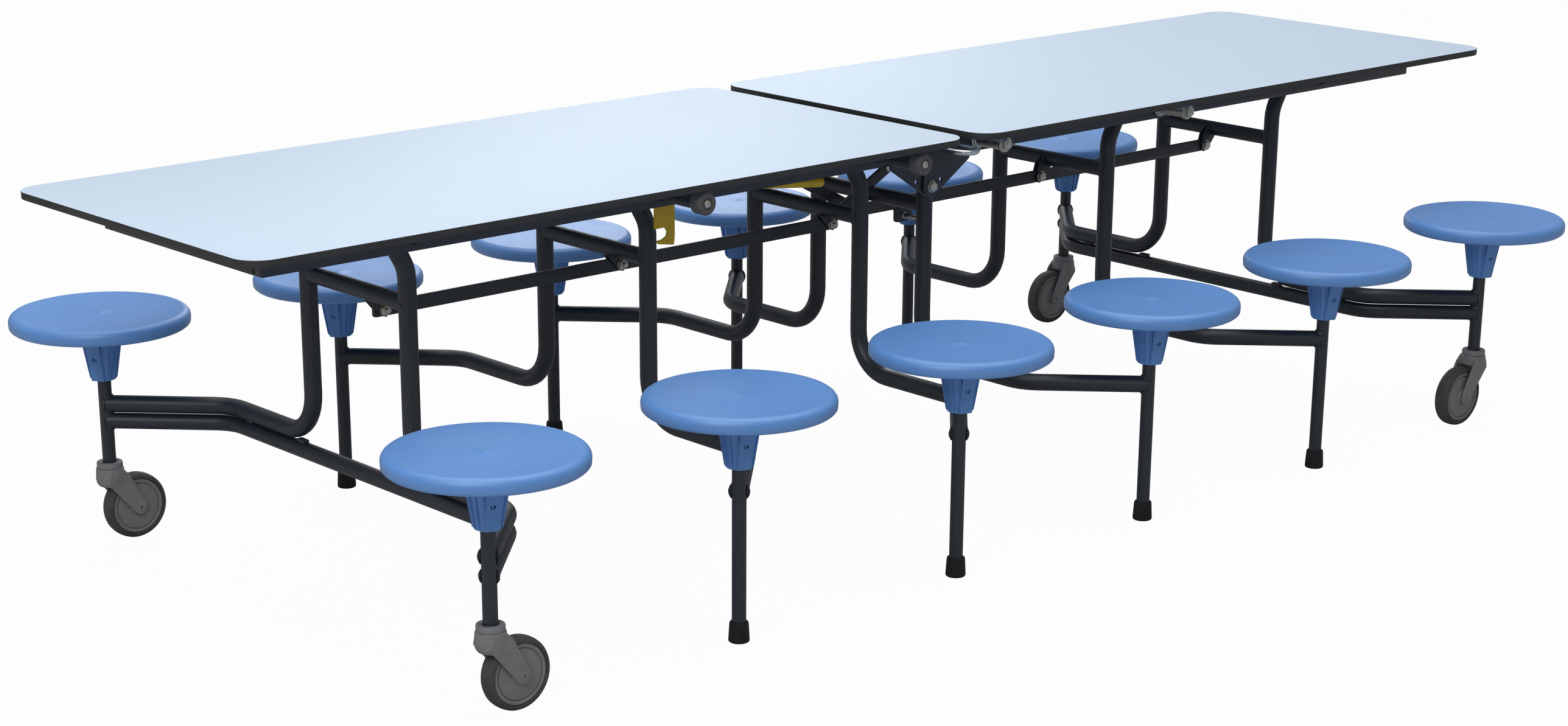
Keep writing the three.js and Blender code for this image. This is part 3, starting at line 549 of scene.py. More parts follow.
def nut_and_thread(centre, axis, across, height, thread):
    """A nut with its washer and the end of the bolt that stands out of it."""
    centre, axis = Vector(centre), Vector(axis)
    washer = turned([(0, 0), (across * 0.62, 0), (across * 0.62, 0.0012), (0, 0.0012)], centre, axis, 32)
    body = hexagon(centre + axis * 0.001, axis, across, height - 0.001)
    collar = turned(
        [(0, 0), (across * 0.4, 0), (across * 0.4, 0.0016), (across * 0.34, 0.0024), (0, 0.0024)],
        centre + axis * (height - 0.0004), axis, 28,
    )
    end = turned(
        [(0, 0), (thread, 0), (thread, 0.0045), (thread * 0.8, 0.0058), (0, 0.0062)], centre + axis * height,
        axis, 24,
    )
    return joined(washer, body, collar, end)


def head_and_washer(centre, axis, across, height):
    """A bolt head that stands on its washer."""
    centre, axis = Vector(centre), Vector(axis)
    washer = turned([(0, 0), (across * 0.66, 0), (across * 0.66, 0.0014), (0, 0.0014)], centre, axis, 32)
    return joined(washer, hexagon(centre + axis * 0.0012, axis, across, height - 0.0012))


def joined(*pieces):
    pick(*pieces)
    bpy.ops.object.join()
    return bpy.context.object


def modified(piece, kind, **settings):
    """Applies a modifier with the given settings to a piece."""
    pick(piece)
    bpy.ops.object.modifier_add(type=kind)
    step = piece.modifiers[-1]
    for key, value in settings.items():
        setattr(step, key, value)
    bpy.ops.object.modifier_apply(modifier=step.name)
    return piece


def carve(piece, cutter):
    """Cuts one closed shape out of another."""
    modified(piece, "BOOLEAN", operation="DIFFERENCE", solver="EXACT", object=cutter)
    bpy.data.objects.remove(cutter)
    return piece


def drill(piece, radius, x, z, y0, y1, steps=24):
    """Bores a hole that runs across the table from y0 to y1."""
    return carve(piece, crossbar(radius, x, z, y0, y1, 0.0003, steps))


def copied(piece, move=(0, 0, 0), turn=0.0):
    """A copy with its own mesh, turned about the upright axis and moved."""
    pick(piece)
    bpy.ops.object.duplicate(linked=False)
    made = bpy.context.object
    made.rotation_euler = (0, 0, turn)
    made.location = move
    apply_place()
    return made


def mirrored(piece):
    """A copy on the other side of the table's long middle plane."""
    pick(piece)
    bpy.ops.object.duplicate(linked=False)
    made = bpy.context.object
    made.scale = (1, -1, 1)
    apply_place()
    edit_mode()
    return closed()


def removed(piece):
    bpy.data.objects.remove(piece)


def hull(points):
    """The outline drawn tight round points."""
    points = sorted(set((round(x, 7), round(z, 7)) for x, z in points))

    def bends_in(a, b, c):
        return (b[0] - a[0]) * (c[1] - a[1]) - (b[1] - a[1]) * (c[0] - a[0]) <= 1e-12

    def chain(run):
        kept = []
        for point in run:
            while len(kept) > 1 and bends_in(kept[-2], kept[-1], point):
                kept.pop()
            kept.append(point)
        return kept[:-1]

    return chain(points) + chain(points[::-1])


def disc(x, z, radius, steps=28):
    """Outline points round a circle."""
    angles = [FULL_TURN * i / steps for i in range(steps)]
    return [(x + radius * math.cos(angle), z + radius * math.sin(angle)) for angle in angles]


def eased(corners, radii, steps=5):
    """An outline through corners, each rounded by its radius."""
    made = []
    count = len(corners)
    for i, corner in enumerate(corners):
        here = Vector(corner)
        into = Vector(corners[i - 1]) - here
        out = Vector(corners[(i + 1) % count]) - here
        angle = into.angle(out)
        reach = min(radii[i] / math.tan(angle / 2), into.length * 0.49, out.length * 0.49)
        if reach < 1e-5:
            made.append(tuple(here))
            continue
        a, b = here + into.normalized() * reach, here + out.normalized() * reach
        for k in range(steps + 1):
            t = k / steps
            made.append(tuple((1 - t) ** 2 * a + 2 * t * (1 - t) * here + t * t * b))
    return made


def weld_bead(centre, way, ring, saddle, seed):
    """An uneven ring of weld where a tube runs up to an upright tube."""
    centre, way = Vector(centre), Vector(way).normalized()
    bare()
    bpy.ops.mesh.primitive_torus_add(
        major_segments=44, minor_segments=8, major_radius=ring, minor_radius=sizes().weld_thickness,
        location=centre, rotation=facing(way),
    )
    apply_place()
    piece = bpy.context.object
    across = way.cross(Vector((0, 0, 1))).normalized()
    for vertex in piece.data.vertices:
        aside = (vertex.co - centre).dot(across)
        vertex.co -= way * math.sqrt(max(saddle**2 - aside**2, 0))
    edit_mode()
    select_all()
    bpy.ops.transform.vertex_random(offset=0.0006, seed=seed)
    return closed()


def painted(piece, *finishes):
    """Gives a piece the materials of the named finishes."""
    piece.data.materials.clear()
    for name in finishes:
        piece.data.materials.append(finish(name))
    return piece


def mm(*pairs):
    """Points of an outline or a profile, given in millimetres."""
    return [(a / 1000, b / 1000) for a, b in pairs]


def middle(low, high, z):
    """The point at height z in the middle of a box."""
    return ((low.x + high.x) / 2, (low.y + high.y) / 2, z)


def settle(piece, name, body, slot, *nodes, angle=32):
    """Names a finished piece, paints it if it is bare, smooths it and ties it to the body it moves with."""
    if len(piece.data.materials) == 0:
        painted(piece, SLOT_FINISH[slot])
    pick(piece)
    bpy.ops.object.shade_smooth_by_angle(angle=math.radians(angle))
    piece.name = name
    piece.data.name = name
    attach(piece, body)
    if nodes:
        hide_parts(*nodes)
    return piece


# Pieces.


class TABLE_OT_tops(bpy.types.Operator):
    """Two laminate table tops with rounded corners and a dark core along the rim"""

    bl_idname = "cafeteria.tops"
    bl_label = "Table tops"

    def execute(self, context):
        size = sizes()
        r = size.corner_radius
        low, high = TOP_LOW, TOP_HIGH
        outline = []
        x0, x1, y0, y1 = low.x + r, high.x - r, low.y + r, high.y - r
        for start, (x, y) in enumerate(((x1, y1), (x0, y1), (x0, y0), (x1, y0))):
            for k in range(17):
                angle = (start + k / 16) * math.pi / 2
                outline.append(Vector((x + r * math.cos(angle), y + r * math.sin(angle), low.z)))
        right = plate(outline, Vector((0, 0, high.z - low.z)), size.edge_round, 3)
        painted(right, "table_laminate", "laminate_core")
        for face in right.data.polygons:
            face.material_index = 0 if abs(face.normal.z) > 0.96 else 1
        left = copied(right, turn=math.pi)
        settle(right, "right_table_top", "right_top", "laminate", "right_tabletop", angle=40)
        settle(left, "left_table_top", "left_top", "laminate", "left_tabletop", angle=40)
        return {"FINISHED"}


class TABLE_OT_underframes(bpy.types.Operator):
    """Rings of rectangular tube under the tops, with hinge plates, lugs and fixing screws"""

    bl_idname = "cafeteria.underframes"
    bl_label = "Underframes"

    def hinge_plate(self, sign, row, near, far):
        outline = hull(
            disc(0, HINGE_Z, 0.02, 40) + eased(
                [
                    (-sign * 0.02, RAIL_TOP - 0.0003), (sign * 0.102, RAIL_TOP - 0.0003),
                    (sign * 0.102, 0.6727), (sign * 0.016, 0.618),
                ],
                [0.006, 0.004, 0.01, 0.0],
            )[:-1]
        )
        piece = side_plate(outline, row * near, row * far, 0.0007)
        hole_x, hole_z = (0.025, 0.641) if sign > 0 else (-0.034, 0.642)
        for x, z, r in ((hole_x, hole_z, 0.0045), (0, HINGE_Z, 0.0064)):
            drill(piece, r, x, z, row * (near - 0.01), row * (far + 0.01))
        return piece

    def execute(self, context):
        size = sizes()
        top, foot = RAIL_TOP, RAIL_TOP - size.rail_height
        inner_x, outer_x = 0.022, RAIL_HIGH.x
        out_y = RAIL_Y
        in_y = out_y - size.rail_width
        for side, sign in SIGN.items():
            parts = []
            for row in ROWS.values():
                rail = block(
                    (sign * inner_x, row * in_y, foot), (sign * outer_x, row * out_y, top), size.rail_round
                )
                for x in PIVOT_X.values():
                    drill(rail, ROD_HOLE, sign * x, PIVOT_Z, -0.26, 0.26, 32)
                parts.append(rail)
                near, far = (out_y, 0.248) if side == "left" else (0.2485, 0.2535)
                parts.append(self.hinge_plate(sign, row, near, far))
                if side == "right":
                    parts.append(block(
                        (sign * 0.044, row * out_y, foot + 0.001), (sign * 0.102, row * 0.2486, top - 0.001),
                        0.001, 2,
                    ))
            for x in (0.026, outer_x - size.rail_width):
                parts.append(block(
                    (sign * x, -in_y, foot), (sign * (x + size.rail_width), in_y, top), size.rail_round
                ))
            y0, y1 = (-0.0035, 0.0015) if side == "left" else (-0.0235, -0.0185)
            lug = side_plate(
                hull(
                    disc(sign * LUG_X, LUG_Z, 0.013, 32) + [
                        (sign * 0.027, top - 0.001), (sign * 0.05, top - 0.001), (sign * 0.027, foot + 0.001)
                    ]
                ),
                y0, y1, 0.0006,
            )
            parts.append(drill(lug, BOLT_RADIUS, sign * LUG_X, LUG_Z, y0 - 0.01, y1 + 0.01))
            for row in ROWS.values():
                for x in (0.0525, outer_x):
                    ends = [(sign * x, row * in_y, foot + 0.004), (sign * x, row * in_y, top - 0.004)]
                    parts.append(pipe(ends, [], size.weld_thickness, 10))
            ring = joined(*parts)
            settle(ring, f"{side}_rail_ring", f"{side}_top", "frame", f"{side}_underframe")
            profile = mm((0, 0), (2.2, 0.4), (2.4, -0.6), (5.8, -1), (6.4, -0.2), (6.4, 0.6), (0, 0.6))
            screws = []
            for row in ROWS.values():
                for x in (0.22, 0.5, 0.78, 1.02, 1.38):
                    place = (sign * x, row * (in_y + out_y) / 2, foot - 0.0002)
                    screws.append(turned(profile, place, steps=20))
            settle(joined(*screws), f"{side}_top_screws", f"{side}_top", "zinc")
        return {"FINISHED"}


class TABLE_OT_leg_frames(bpy.types.Operator):
    """Six bent tube frames with stool posts, pivot sleeves, link brackets and weld beads"""

    bl_idname = "cafeteria.leg_frames"
    bl_label = "Leg frames"

    def tubes(self, is_end):
        """The tubes of a left frame whose legs stand at the middle of the table."""
        size = sizes()
        r, arm, post = size.leg_diameter / 2, size.arm_height, size.post_diameter / 2
        pivot_x, post_x, post_y, knee_y = -LEG_SETBACK, -0.169, -0.59, -0.421
        bend_z = PIVOT_Z - LEG_SETBACK / math.tan(math.pi / 6)
        corners = [
            (pivot_x, -LEG_Y, PIVOT_Z), (0, -LEG_Y, bend_z), (0, -LEG_Y, arm), (0, knee_y, arm),
            (post_x, post_y, arm),
        ]
        parts = [pipe(corners, [0.07, 0.08, 0.08], r)]
        foot, top = (0.1303, 0.3975) if is_end else (0.0083, 0.3925)
        parts.append(rod(post, (post_x, post_y, foot), (post_x, post_y, top), 0.0008, size.tube_sides))
        way = Vector((post_x, post_y - knee_y, 0)).normalized()
        parts.append(weld_bead((post_x, post_y, arm), way, r + 0.0004, post, 3))
        parts.append(crossbar(0.0186, pivot_x, PIVOT_Z, -0.172, -0.128, 0.0008, 36, ROD_HOLE))
        parts.append(weld_bead((0, -LEG_Y, size.cross_height), (0, -1, 0), size.cross_diameter / 2, r, 7))
        if is_end:
            low = arm - r - 0.0015 - size.lower_diameter / 2
            parts.append(weld_bead((post_x, post_y, low), way, size.lower_diameter / 2 + 0.0004, post, 11))
        parts += [mirrored(each) for each in parts]
        if is_end:
            corners = [(post_x, post_y, low), (0, knee_y, low), (0, -knee_y, low), (post_x, -post_y, low)]
            parts.append(pipe(corners, [0.08, 0.08], size.lower_diameter / 2))
            for y in (-0.36, -0.19, 0.19, 0.36):
                parts.append(
                    block((-0.006, y - 0.012, low + 0.012), (0.006, y + 0.012, arm - 0.012), 0.002, 2)
                )
            parts.append(crossbar(size.rod_diameter / 2, pivot_x, PIVOT_Z, -0.258, 0.258, 0.002, 32))
        parts.append(
            crossbar(size.cross_diameter / 2, 0, size.cross_height, -LEG_Y, LEG_Y, 0.0005, size.tube_sides)
        )
        return joined(*parts)

    def bracket(self, bar_y):
        """Two plates that hold a left link bar between them."""
        size = sizes()
        z = size.cross_height
        round_tube = disc(0, z, size.cross_diameter / 2 - 0.001)
        round_bolt = disc(BOLT_REACH, z - BOLT_DROP, 0.012)
        outline = hull(round_tube + round_bolt + [(0.03, z - 0.006), (0.03, z - 0.0475)])
        gap = size.bar_thickness / 2 + 0.0005
        return joined(
            side_plate(outline, bar_y - gap - 0.004, bar_y - gap, 0.0006),
            side_plate(outline, bar_y + gap, bar_y + gap + 0.004, 0.0006),
        )

    def execute(self, context):
        size = sizes()
        frames = {False: self.tubes(False), True: self.tubes(True)}
        bracket = self.bracket(0)
        bolt_z = size.cross_height - BOLT_DROP
        gap = size.bar_thickness / 2 + 0.0045
        for side, sign in SIGN.items():
            turn = 0 if side == "left" else math.pi
            bar_y = BAR_Y[side]
            for place in PLACES:
                x = sign * (PIVOT_X[place] - LEG_SETBACK)
                body = copied(frames[place == "end"], (x, 0, 0), turn)
                plates = copied(bracket, (x, bar_y, 0), turn)
                piece = joined(body, plates)
                settle(
                    piece, f"{side}_{place}_legs", f"{side}_{place}_frame", "frame", f"{side}_{place}_frame"
                )
                bolt_x = x - sign * BOLT_REACH
                strut = 0.0055 if place == "inner" else 0.0
                nut_y = bar_y + sign * gap
                head_y = bar_y - sign * (gap + strut)
                low_y, high_y = sorted((nut_y, head_y))
                shank = crossbar(BOLT_RADIUS, bolt_x, bolt_z, low_y, high_y, 0.0003, 20)
                nut = nut_and_thread((bolt_x, nut_y, bolt_z), (0, sign, 0), BOLT_ACROSS, 0.0075, BOLT_RADIUS)
                head = head_and_washer((bolt_x, head_y, bolt_z), (0, -sign, 0), BOLT_ACROSS, 0.0072)
                bolt = joined(shank, nut, head)
                settle(bolt, f"{side}_{place}_link_bolt", f"{side}_{place}_frame", "zinc")
        removed(bracket)
        for each in frames.values():
            removed(each)
        return {"FINISHED"}


class TABLE_OT_stools(bpy.types.Operator):
    """Twelve moulded stool tops on ribbed, tapered sockets"""

    bl_idname = "cafeteria.stools"
    bl_label = "Stools"
    screw_z = -0.085

    def seat(self):
        r = sizes().seat_diameter / 2
        wall = sizes().seat_wall
        profile = [
            (0, -0.0017), (0.0028, -0.0018), (0.0038, -0.0024), (0.03, -0.0026), (0.085, -0.0027),
            (r - 0.034, -0.0024), (r - 0.024, -0.0013), (r - 0.017, -0.0003), (r - 0.012, 0),
            (r - 0.0075, -0.0012), (r - 0.0035, -0.0042), (r - 0.001, -0.0082), (r, -0.013),
            (r - 0.0006, -0.023), (r - 0.0022, -0.0252), (r - 0.0052, -0.0275), (r - 0.0075, -0.028),
            (r - wall - 0.003, -0.0265), (r - wall - 0.004, -0.011), (0.052, -0.011), (0.044, -0.016),
            (0.0362, -0.038), (0.0222, -0.1275), (0.0218, -0.128), (0.0128, -0.128), (0.0128, -0.046),
            (0, -0.046),
        ]
        return turned(profile, (0, 0, 0), steps=96)

    def ribs(self):
        """Upright ribs round the socket and radial ribs under the seat."""
        r = sizes().seat_diameter / 2
        upright = side_plate(
            mm((20, -10), (43, -10), (40, -37), (30, -97), (25.5, -123.5), (22.5, -127.2), (18, -127.2)),
            -0.0017, 0.0017, 0.0006,
        )
        spoke = side_plate(
            [
                (0.03, -0.009), (r - 0.007, -0.009), (r - 0.009, -0.0262), (0.06, -0.0262), (0.04, -0.036),
                (0.03, -0.036),
            ],
            -0.0012, 0.0012, 0.0004,
        )
        for piece, count in ((upright, 14), (spoke, 12)):
            pick(piece)
            edit_mode()
            select_all()
            sweep = FULL_TURN * (count - 1) / count
            bpy.ops.mesh.spin(steps=count - 1, dupli=True, angle=sweep, center=(0, 0, 0), axis=(0, 0, 1))
            closed()
        return upright, spoke

    def screw_panel(self):
        """The flat panel on the socket's side, with its screw hole and the notch above it."""
        panel = side_plate(
            mm((16, -10), (43, -10), (41.2, -37), (26.2, -124.5), (24, -127.6), (16, -127.6)), -0.0125,
            0.0125, 0.001,
        )
        carve(panel, rod(0.0042, (0.024, 0, self.screw_z), (0.05, 0, self.screw_z), 0.0003, 24))
        carve(panel, block((0.0335, -0.007, -0.044), (0.05, 0.007, -0.022), 0.0012, 2))
        return panel

    def execute(self, context):
        seat = painted(self.seat(), "seat_plastic")
        upright, spoke = self.ribs()
        panel = self.screw_panel()
        back = copied(panel, turn=math.pi)
        # The ribs and panels under the seat take the seat colour darkened as painted shade of the underside.
        fittings = painted(joined(upright, spoke, panel, back), "socket_plastic")
        z = self.screw_z
        # Dark rubber plugs set inside the two screw holes, short of their mouths: painted shade, a dark fill
        # that stands for the shadow in the holes.
        screws = [rod(0.0041, (way * 0.024, 0, z), (way * 0.0305, 0, z), 0.0006, 20) for way in (-1, 1)]
        stool = joined(seat, fittings, painted(joined(*screws), "black_rubber"))
        for side, place, row in product(SIGN, PLACES, ROWS):
            node = f"{side}_{place}_{row}_seat"
            low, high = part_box(node)
            turn = math.radians(250 if row == "front" else 214)
            piece = copied(stool, middle(low, high, high.z), turn)
            settle(piece, f"{side}_{place}_{row}_stool", f"{side}_{place}_frame", "seat", node, angle=38)
        removed(stool)
        return {"FINISHED"}


class TABLE_OT_feet(bpy.types.Operator):
    """Eight flared rubber feet with a rolled lip"""

    bl_idname = "cafeteria.feet"
    bl_label = "Feet"

    def execute(self, context):
        profile = mm(
            (0, 0.8), (12, 0.8), (12.8, 0), (16.8, 0), (18.1, 1.2), (18.5, 3.6), (18, 12), (16.9, 31),
            (16.6, 33.8), (15.8, 35.5), (14.6, 36), (13.6, 35.3), (12.7, 33.5), (12.7, 8), (0, 8),
        )
        foot = turned(profile, (0, 0, 0), steps=48)
        for side, place, row in product(SIGN, ("inner", "middle"), ROWS):
            node = f"{side}_{place}_{row}_foot"
            low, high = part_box(node)
            piece = copied(foot, middle(low, high, low.z))
            settle(piece, f"{node}_cup", f"{side}_{place}_frame", "rubber", node, angle=50)
        removed(foot)
        return {"FINISHED"}


class TABLE_OT_casters(bpy.types.Operator):
    """Four swivel casters: a moulded fork, a disc wheel with a ring groove and a soft tyre"""

    bl_idname = "cafeteria.casters"
    bl_label = "Casters"

    def fork(self):
        """A fork about its upright axis, its axle trailing along the table."""
        axle = (CASTER_TRAIL, sizes().wheel_diameter / 2)
        arm = hull(
            disc(axle[0], axle[1], 0.0145, 28) + mm(
                (-8, 144.5), (14, 144.5), (-16, 132), (-19, 119), (28, 131)
            )
        )
        left = side_plate(arm, 0.0188, 0.0248, 0.0015)
        right = side_plate(arm, -0.0248, -0.0188, 0.0015)
        crown = turned(
            mm((0, 110), (21.5, 110), (26.2, 117), (27, 127), (25.6, 146), (0, 146)), (0, 0, 0), steps=40
        )
        carve(crown, crossbar(0.0665, axle[0], axle[1], -0.0187, 0.0187, 0.001, 64))
        shell = joined(crown, left, right)
        modified(shell, "REMESH", mode="VOXEL", voxel_size=0.0011)
        modified(shell, "SMOOTH", factor=0.6, iterations=24)
        collar = turned(
            mm(
                (12.9, 131), (21.5, 131), (21.5, 145), (23.8, 146.2), (24, 147.5), (24, 154.5),
                (23.2, 156.2), (21.5, 157), (15, 157), (12.9, 155.5), (12.9, 131),
            ),
            (0, 0, 0), (0, 0, 1), 48,
        )
        cap = mm((0, 0), (7.5, 0), (7.5, 0.6), (6.2, 1.2), (3, 1.3), (2.6, 0.6), (0, 0.6))
        caps = [turned(cap, (axle[0], way * 0.0242, axle[1]), (0, way, 0), 28) for way in (-1, 1)]
        pin = crossbar(0.005, axle[0], axle[1], -0.0245, 0.0245, 0.0004, 20)
        return joined(shell, collar, pin, *caps)

    def execute(self, context):
        size = sizes()
        fork = self.fork()
        centre = Vector((CASTER_TRAIL, 0, size.wheel_diameter / 2))
        rim = size.wheel_diameter / 2 - 0.01
        half = [
            (0.0053, 0.0183), (0.015, 0.0183), (0.0165, 0.017), (0.017, 0.0146), (0.039, 0.0132),
            (0.0428, 0.0128), (0.0432, 0.0108), (0.0446, 0.0108), (0.045, 0.0132), (0.047, 0.0142),
            (rim - 0.0022, 0.0143), (rim - 0.0008, 0.0132), (rim - 0.0001, 0.011),
        ]
        loop = half + [(r, -h) for r, h in half[::-1]] + half[:1]
        wheel = turned(loop, centre, (0, 1, 0), 72)
        wide, out = size.wheel_width / 2, size.wheel_diameter / 2
        shoulder = [
            (rim, wide - 0.0012), (rim + 0.0012, wide), (out - 0.006, wide - 0.0006),
            (out - 0.0028, wide - 0.003), (out - 0.0008, wide - 0.007), (out, wide - 0.0125),
        ]
        tread = shoulder + [(r, -h) for r, h in shoulder[::-1]] + shoulder[:1]
        tyre = turned(tread, centre, (0, 1, 0), 96)
        for side, row in product(SIGN, ROWS):
            low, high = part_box(f"{side}_end_{row}_seat")
            post = middle(low, high, 0)
            turn = math.pi if side == "right" else 0
            node, hub = f"{side}_{row}_caster", f"{side}_{row}_wheel"
            settle(copied(fork, post, turn), f"{node}_housing", node, "caster", f"{node}_fork", angle=60)
            settle(copied(wheel, post, turn), f"{node}_disc", hub, "caster", f"{node}_wheel", angle=40)
            settle(copied(tyre, post, turn), f"{node}_tread", hub, "tyre", f"{node}_tyre", angle=50)
        for each in (fork, wheel, tyre):
            removed(each)
        return {"FINISHED"}


class TABLE_OT_pivot_rods(bpy.types.Operator):
    """Pivot rods of the legs: coated with rubber bumpers on one half, plated with flanges on the other"""

    bl_idname = "cafeteria.pivot_rods"
    bl_label = "Pivot rods and bumpers"

    def execute(self, context):
        r = sizes().rod_diameter / 2
        for place, x in (("inner", INNER_PIVOT_X), ("middle", MIDDLE_PIVOT_X)):
            bar = crossbar(r, -x, PIVOT_Z, -0.3397, 0.3397, 0.001, 36)
            settle(bar, f"left_{place}_rod", "left_top", "frame", f"left_{place}_pivot_rod")
            for row, way in ROWS.items():
                ring = turned(
                    mm(
                        (7.2, 0), (18, 0), (19.5, 1), (20, 3), (20, 22.5), (19.2, 24.8), (17.2, 25.9),
                        (11, 26), (10.4, 24), (7.2, 24), (7.2, 0),
                    ),
                    (-x, way * 0.34, PIVOT_Z), (0, way, 0), 56,
                )
                node = f"left_{place}_{row}_bumper"
                settle(
                    painted(ring, "bumper_rubber"), f"{node}_roller", "left_top", "rubber", node, angle=50
                )
                tip = turned(
                    mm((0, 0), (7, 0), (7, 26.2), (6, 27.4), (4.5, 28), (0, 27.8)),
                    (-x, way * 0.3398, PIVOT_Z), (0, way, 0), 32,
                )
                settle(tip, f"{node}_pin", "left_top", "zinc")
            parts = [crossbar(r, x, PIVOT_Z, -0.3195, 0.3195, 0.0008, 40)]
            for way in ROWS.values():
                parts.append(crossbar(0.019, x, PIVOT_Z, way * 0.2433, way * 0.2503, 0.0012, 40))
                parts.append(crossbar(0.016, x, PIVOT_Z, way * 0.314, way * 0.32, 0.001, 40))
                parts.append(weld_bead((x, way * 0.2512, PIVOT_Z), (0, way, 0), r + 0.0006, 0.0, 5))
                parts.append(head_and_washer((x, way * 0.3198, PIVOT_Z), (0, way, 0), 0.019, 0.008))
                parts.append(turned(
                    mm((0, 0), (5, 0), (5, 1.4), (0, 1.8)), (x, way * 0.3276, PIVOT_Z), (0, way, 0), 24
                ))
            settle(joined(*parts), f"right_{place}_rod", "right_top", "zinc", f"right_{place}_pivot_rod")
        return {"FINISHED"}


class TABLE_OT_linkage(bpy.types.Operator):
    """Flat link bars, the lock plate with its catch pin, and the crossing struts"""

    bl_idname = "cafeteria.linkage"
    bl_label = "Link bars and struts"

    def execute(self, context):
        size = sizes()
        bolt_z = size.cross_height - BOLT_DROP
        tall, thick = size.bar_height / 2, size.bar_thickness / 2
        bolts = [x - LEG_SETBACK - BOLT_REACH for x in PIVOT_X.values()]
        for side, sign in SIGN.items():
            y = BAR_Y[side]
            a, b = sign * (bolts[0] - 0.02), sign * (bolts[2] + 0.02)
            corners = [(a, bolt_z - tall), (b, bolt_z - tall), (b, bolt_z + tall), (a, bolt_z + tall)]
            bar = side_plate(eased(corners, [0.006] * 4), y - thick, y + thick, 0.0007)
            for x in bolts:
                drill(bar, LINK_HOLE, sign * x, bolt_z, y - 0.02, y + 0.02)
            parts = [bar]
            if side == "right":
                start, low = bolts[0] + 0.106, bolt_z - tall
                lock = eased(
                    [
                        (start - 0.01, low + 0.002), (start + 0.001, low - 0.001),
                        (start + 0.001, low - 0.0275), (start + 0.033, low - 0.0275),
                        (start + 0.046, low - 0.016), (start + 0.05, low + 0.002),
                    ],
                    [0.0, 0.007, 0.008, 0.009, 0.008, 0.0],
                )
                parts.append(side_plate(lock, y - thick, y + thick, 0.0007))
                pin_x, pin_z = start + 0.028, low - 0.0155
                pin = turned(
                    mm((0, 0), (5.5, 0), (5.5, 34.8), (4.9, 35.9), (3.8, 36), (3.4, 35), (3.4, 28), (0, 28)),
                    (pin_x, y - thick + 0.0002, pin_z), (0, -1, 0), 32,
                )
                nut = turned(
                    mm((4, 0), (7.8, 0), (6.6, 2.2), (4, 2.6), (4, 0)), (pin_x, y - thick, pin_z),
                    (0, -1, 0), 32,
                )
                settle(joined(pin, nut), "lock_pin", "right_link_bar", "zinc")
            settle(joined(*parts), f"{side}_flat_bar", f"{side}_link_bar", "frame", f"{side}_link_bar")
            near, far = (-0.029, -0.024) if side == "left" else (0.002, 0.007)
            wide = size.strut_width / 2
            low_x, top_x = sign * bolts[0], -sign * LUG_X
            strut = side_plate(
                hull(disc(low_x, bolt_z, wide, 36) + disc(top_x, LUG_Z, wide, 36)), near, far, 0.0007
            )
            drill(strut, LINK_HOLE, low_x, bolt_z, near - 0.01, far + 0.01)
            settle(strut, f"{side}_strut", f"{side}_cross_strut", "frame", f"{side}_cross_strut")
            out = -1 if side == "left" else 1
            rivet = turned(
                mm((0, -7.5), (7, -7.5), (7.8, -6.8), (7.8, -5.2), (4.9, -5), (4.9, 0.2), (0, 0.2)),
                (top_x, (near if out < 0 else far) - out * 0.005, LUG_Z), (0, -out, 0), 24,
            )
            settle(rivet, f"{side}_strut_pin", f"{side}_cross_strut", "zinc")
        return {"FINISHED"}


class TABLE_OT_hinge_bolts(bpy.types.Operator):
    """Bolts of the hinge between the two halves"""

    bl_idname = "cafeteria.hinge_bolts"
    bl_label = "Hinge bolts"

    def execute(self, context):
        for row, way in ROWS.items():
            out = (0, way, 0)
            shank = crossbar(0.006, 0, HINGE_Z, way * 0.24, way * 0.2545, 0.0003, 24)
            head = head_and_washer((0, way * 0.2537, HINGE_Z), out, BOLT_ACROSS, 0.0082)
            mark = turned(mm((0, 0), (5.2, 0), (5.2, 0.4), (0, 0.6)), (0, way * 0.2618, HINGE_Z), out, 24)
            nut = nut_and_thread((0, way * 0.242, HINGE_Z), (0, -way, 0), BOLT_ACROSS, 0.0075, 0.0058)
            bolt = joined(shank, head, mark, nut)
            settle(bolt, f"{row}_hinge_pin", "left_top", "zinc", f"{row}_hinge_bolt")
        return {"FINISHED"}


class TABLE_OT_lift_loop(bpy.types.Operator):
    """Bright rod loop welded to the front hinge plate of the right half"""

    bl_idname = "cafeteria.lift_loop"
    bl_label = "Lift loop"

    def execute(self, context):
        low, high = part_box("lift_loop")
        r = (high.z - low.z) / 2
        near, far, end, z = low.x + r, high.x - r, low.y + r, low.z + r
        corners = [(near, high.y, z), (near, end, z), (far, end, z), (far, high.y, z)]
        bend = (far - near) / 2 - 0.0005
        loop = pipe(corners, [bend, bend], r, 28)
        settle(loop, "loop_rod", "right_top", "chrome", "lift_loop", angle=45)
        beads = [weld_bead((x, high.y - 0.001, z), (0, -1, 0), r, 0.0, 3) for x in (near, far)]
        settle(joined(*beads), "loop_welds", "right_top", "frame")
        return {"FINISHED"}


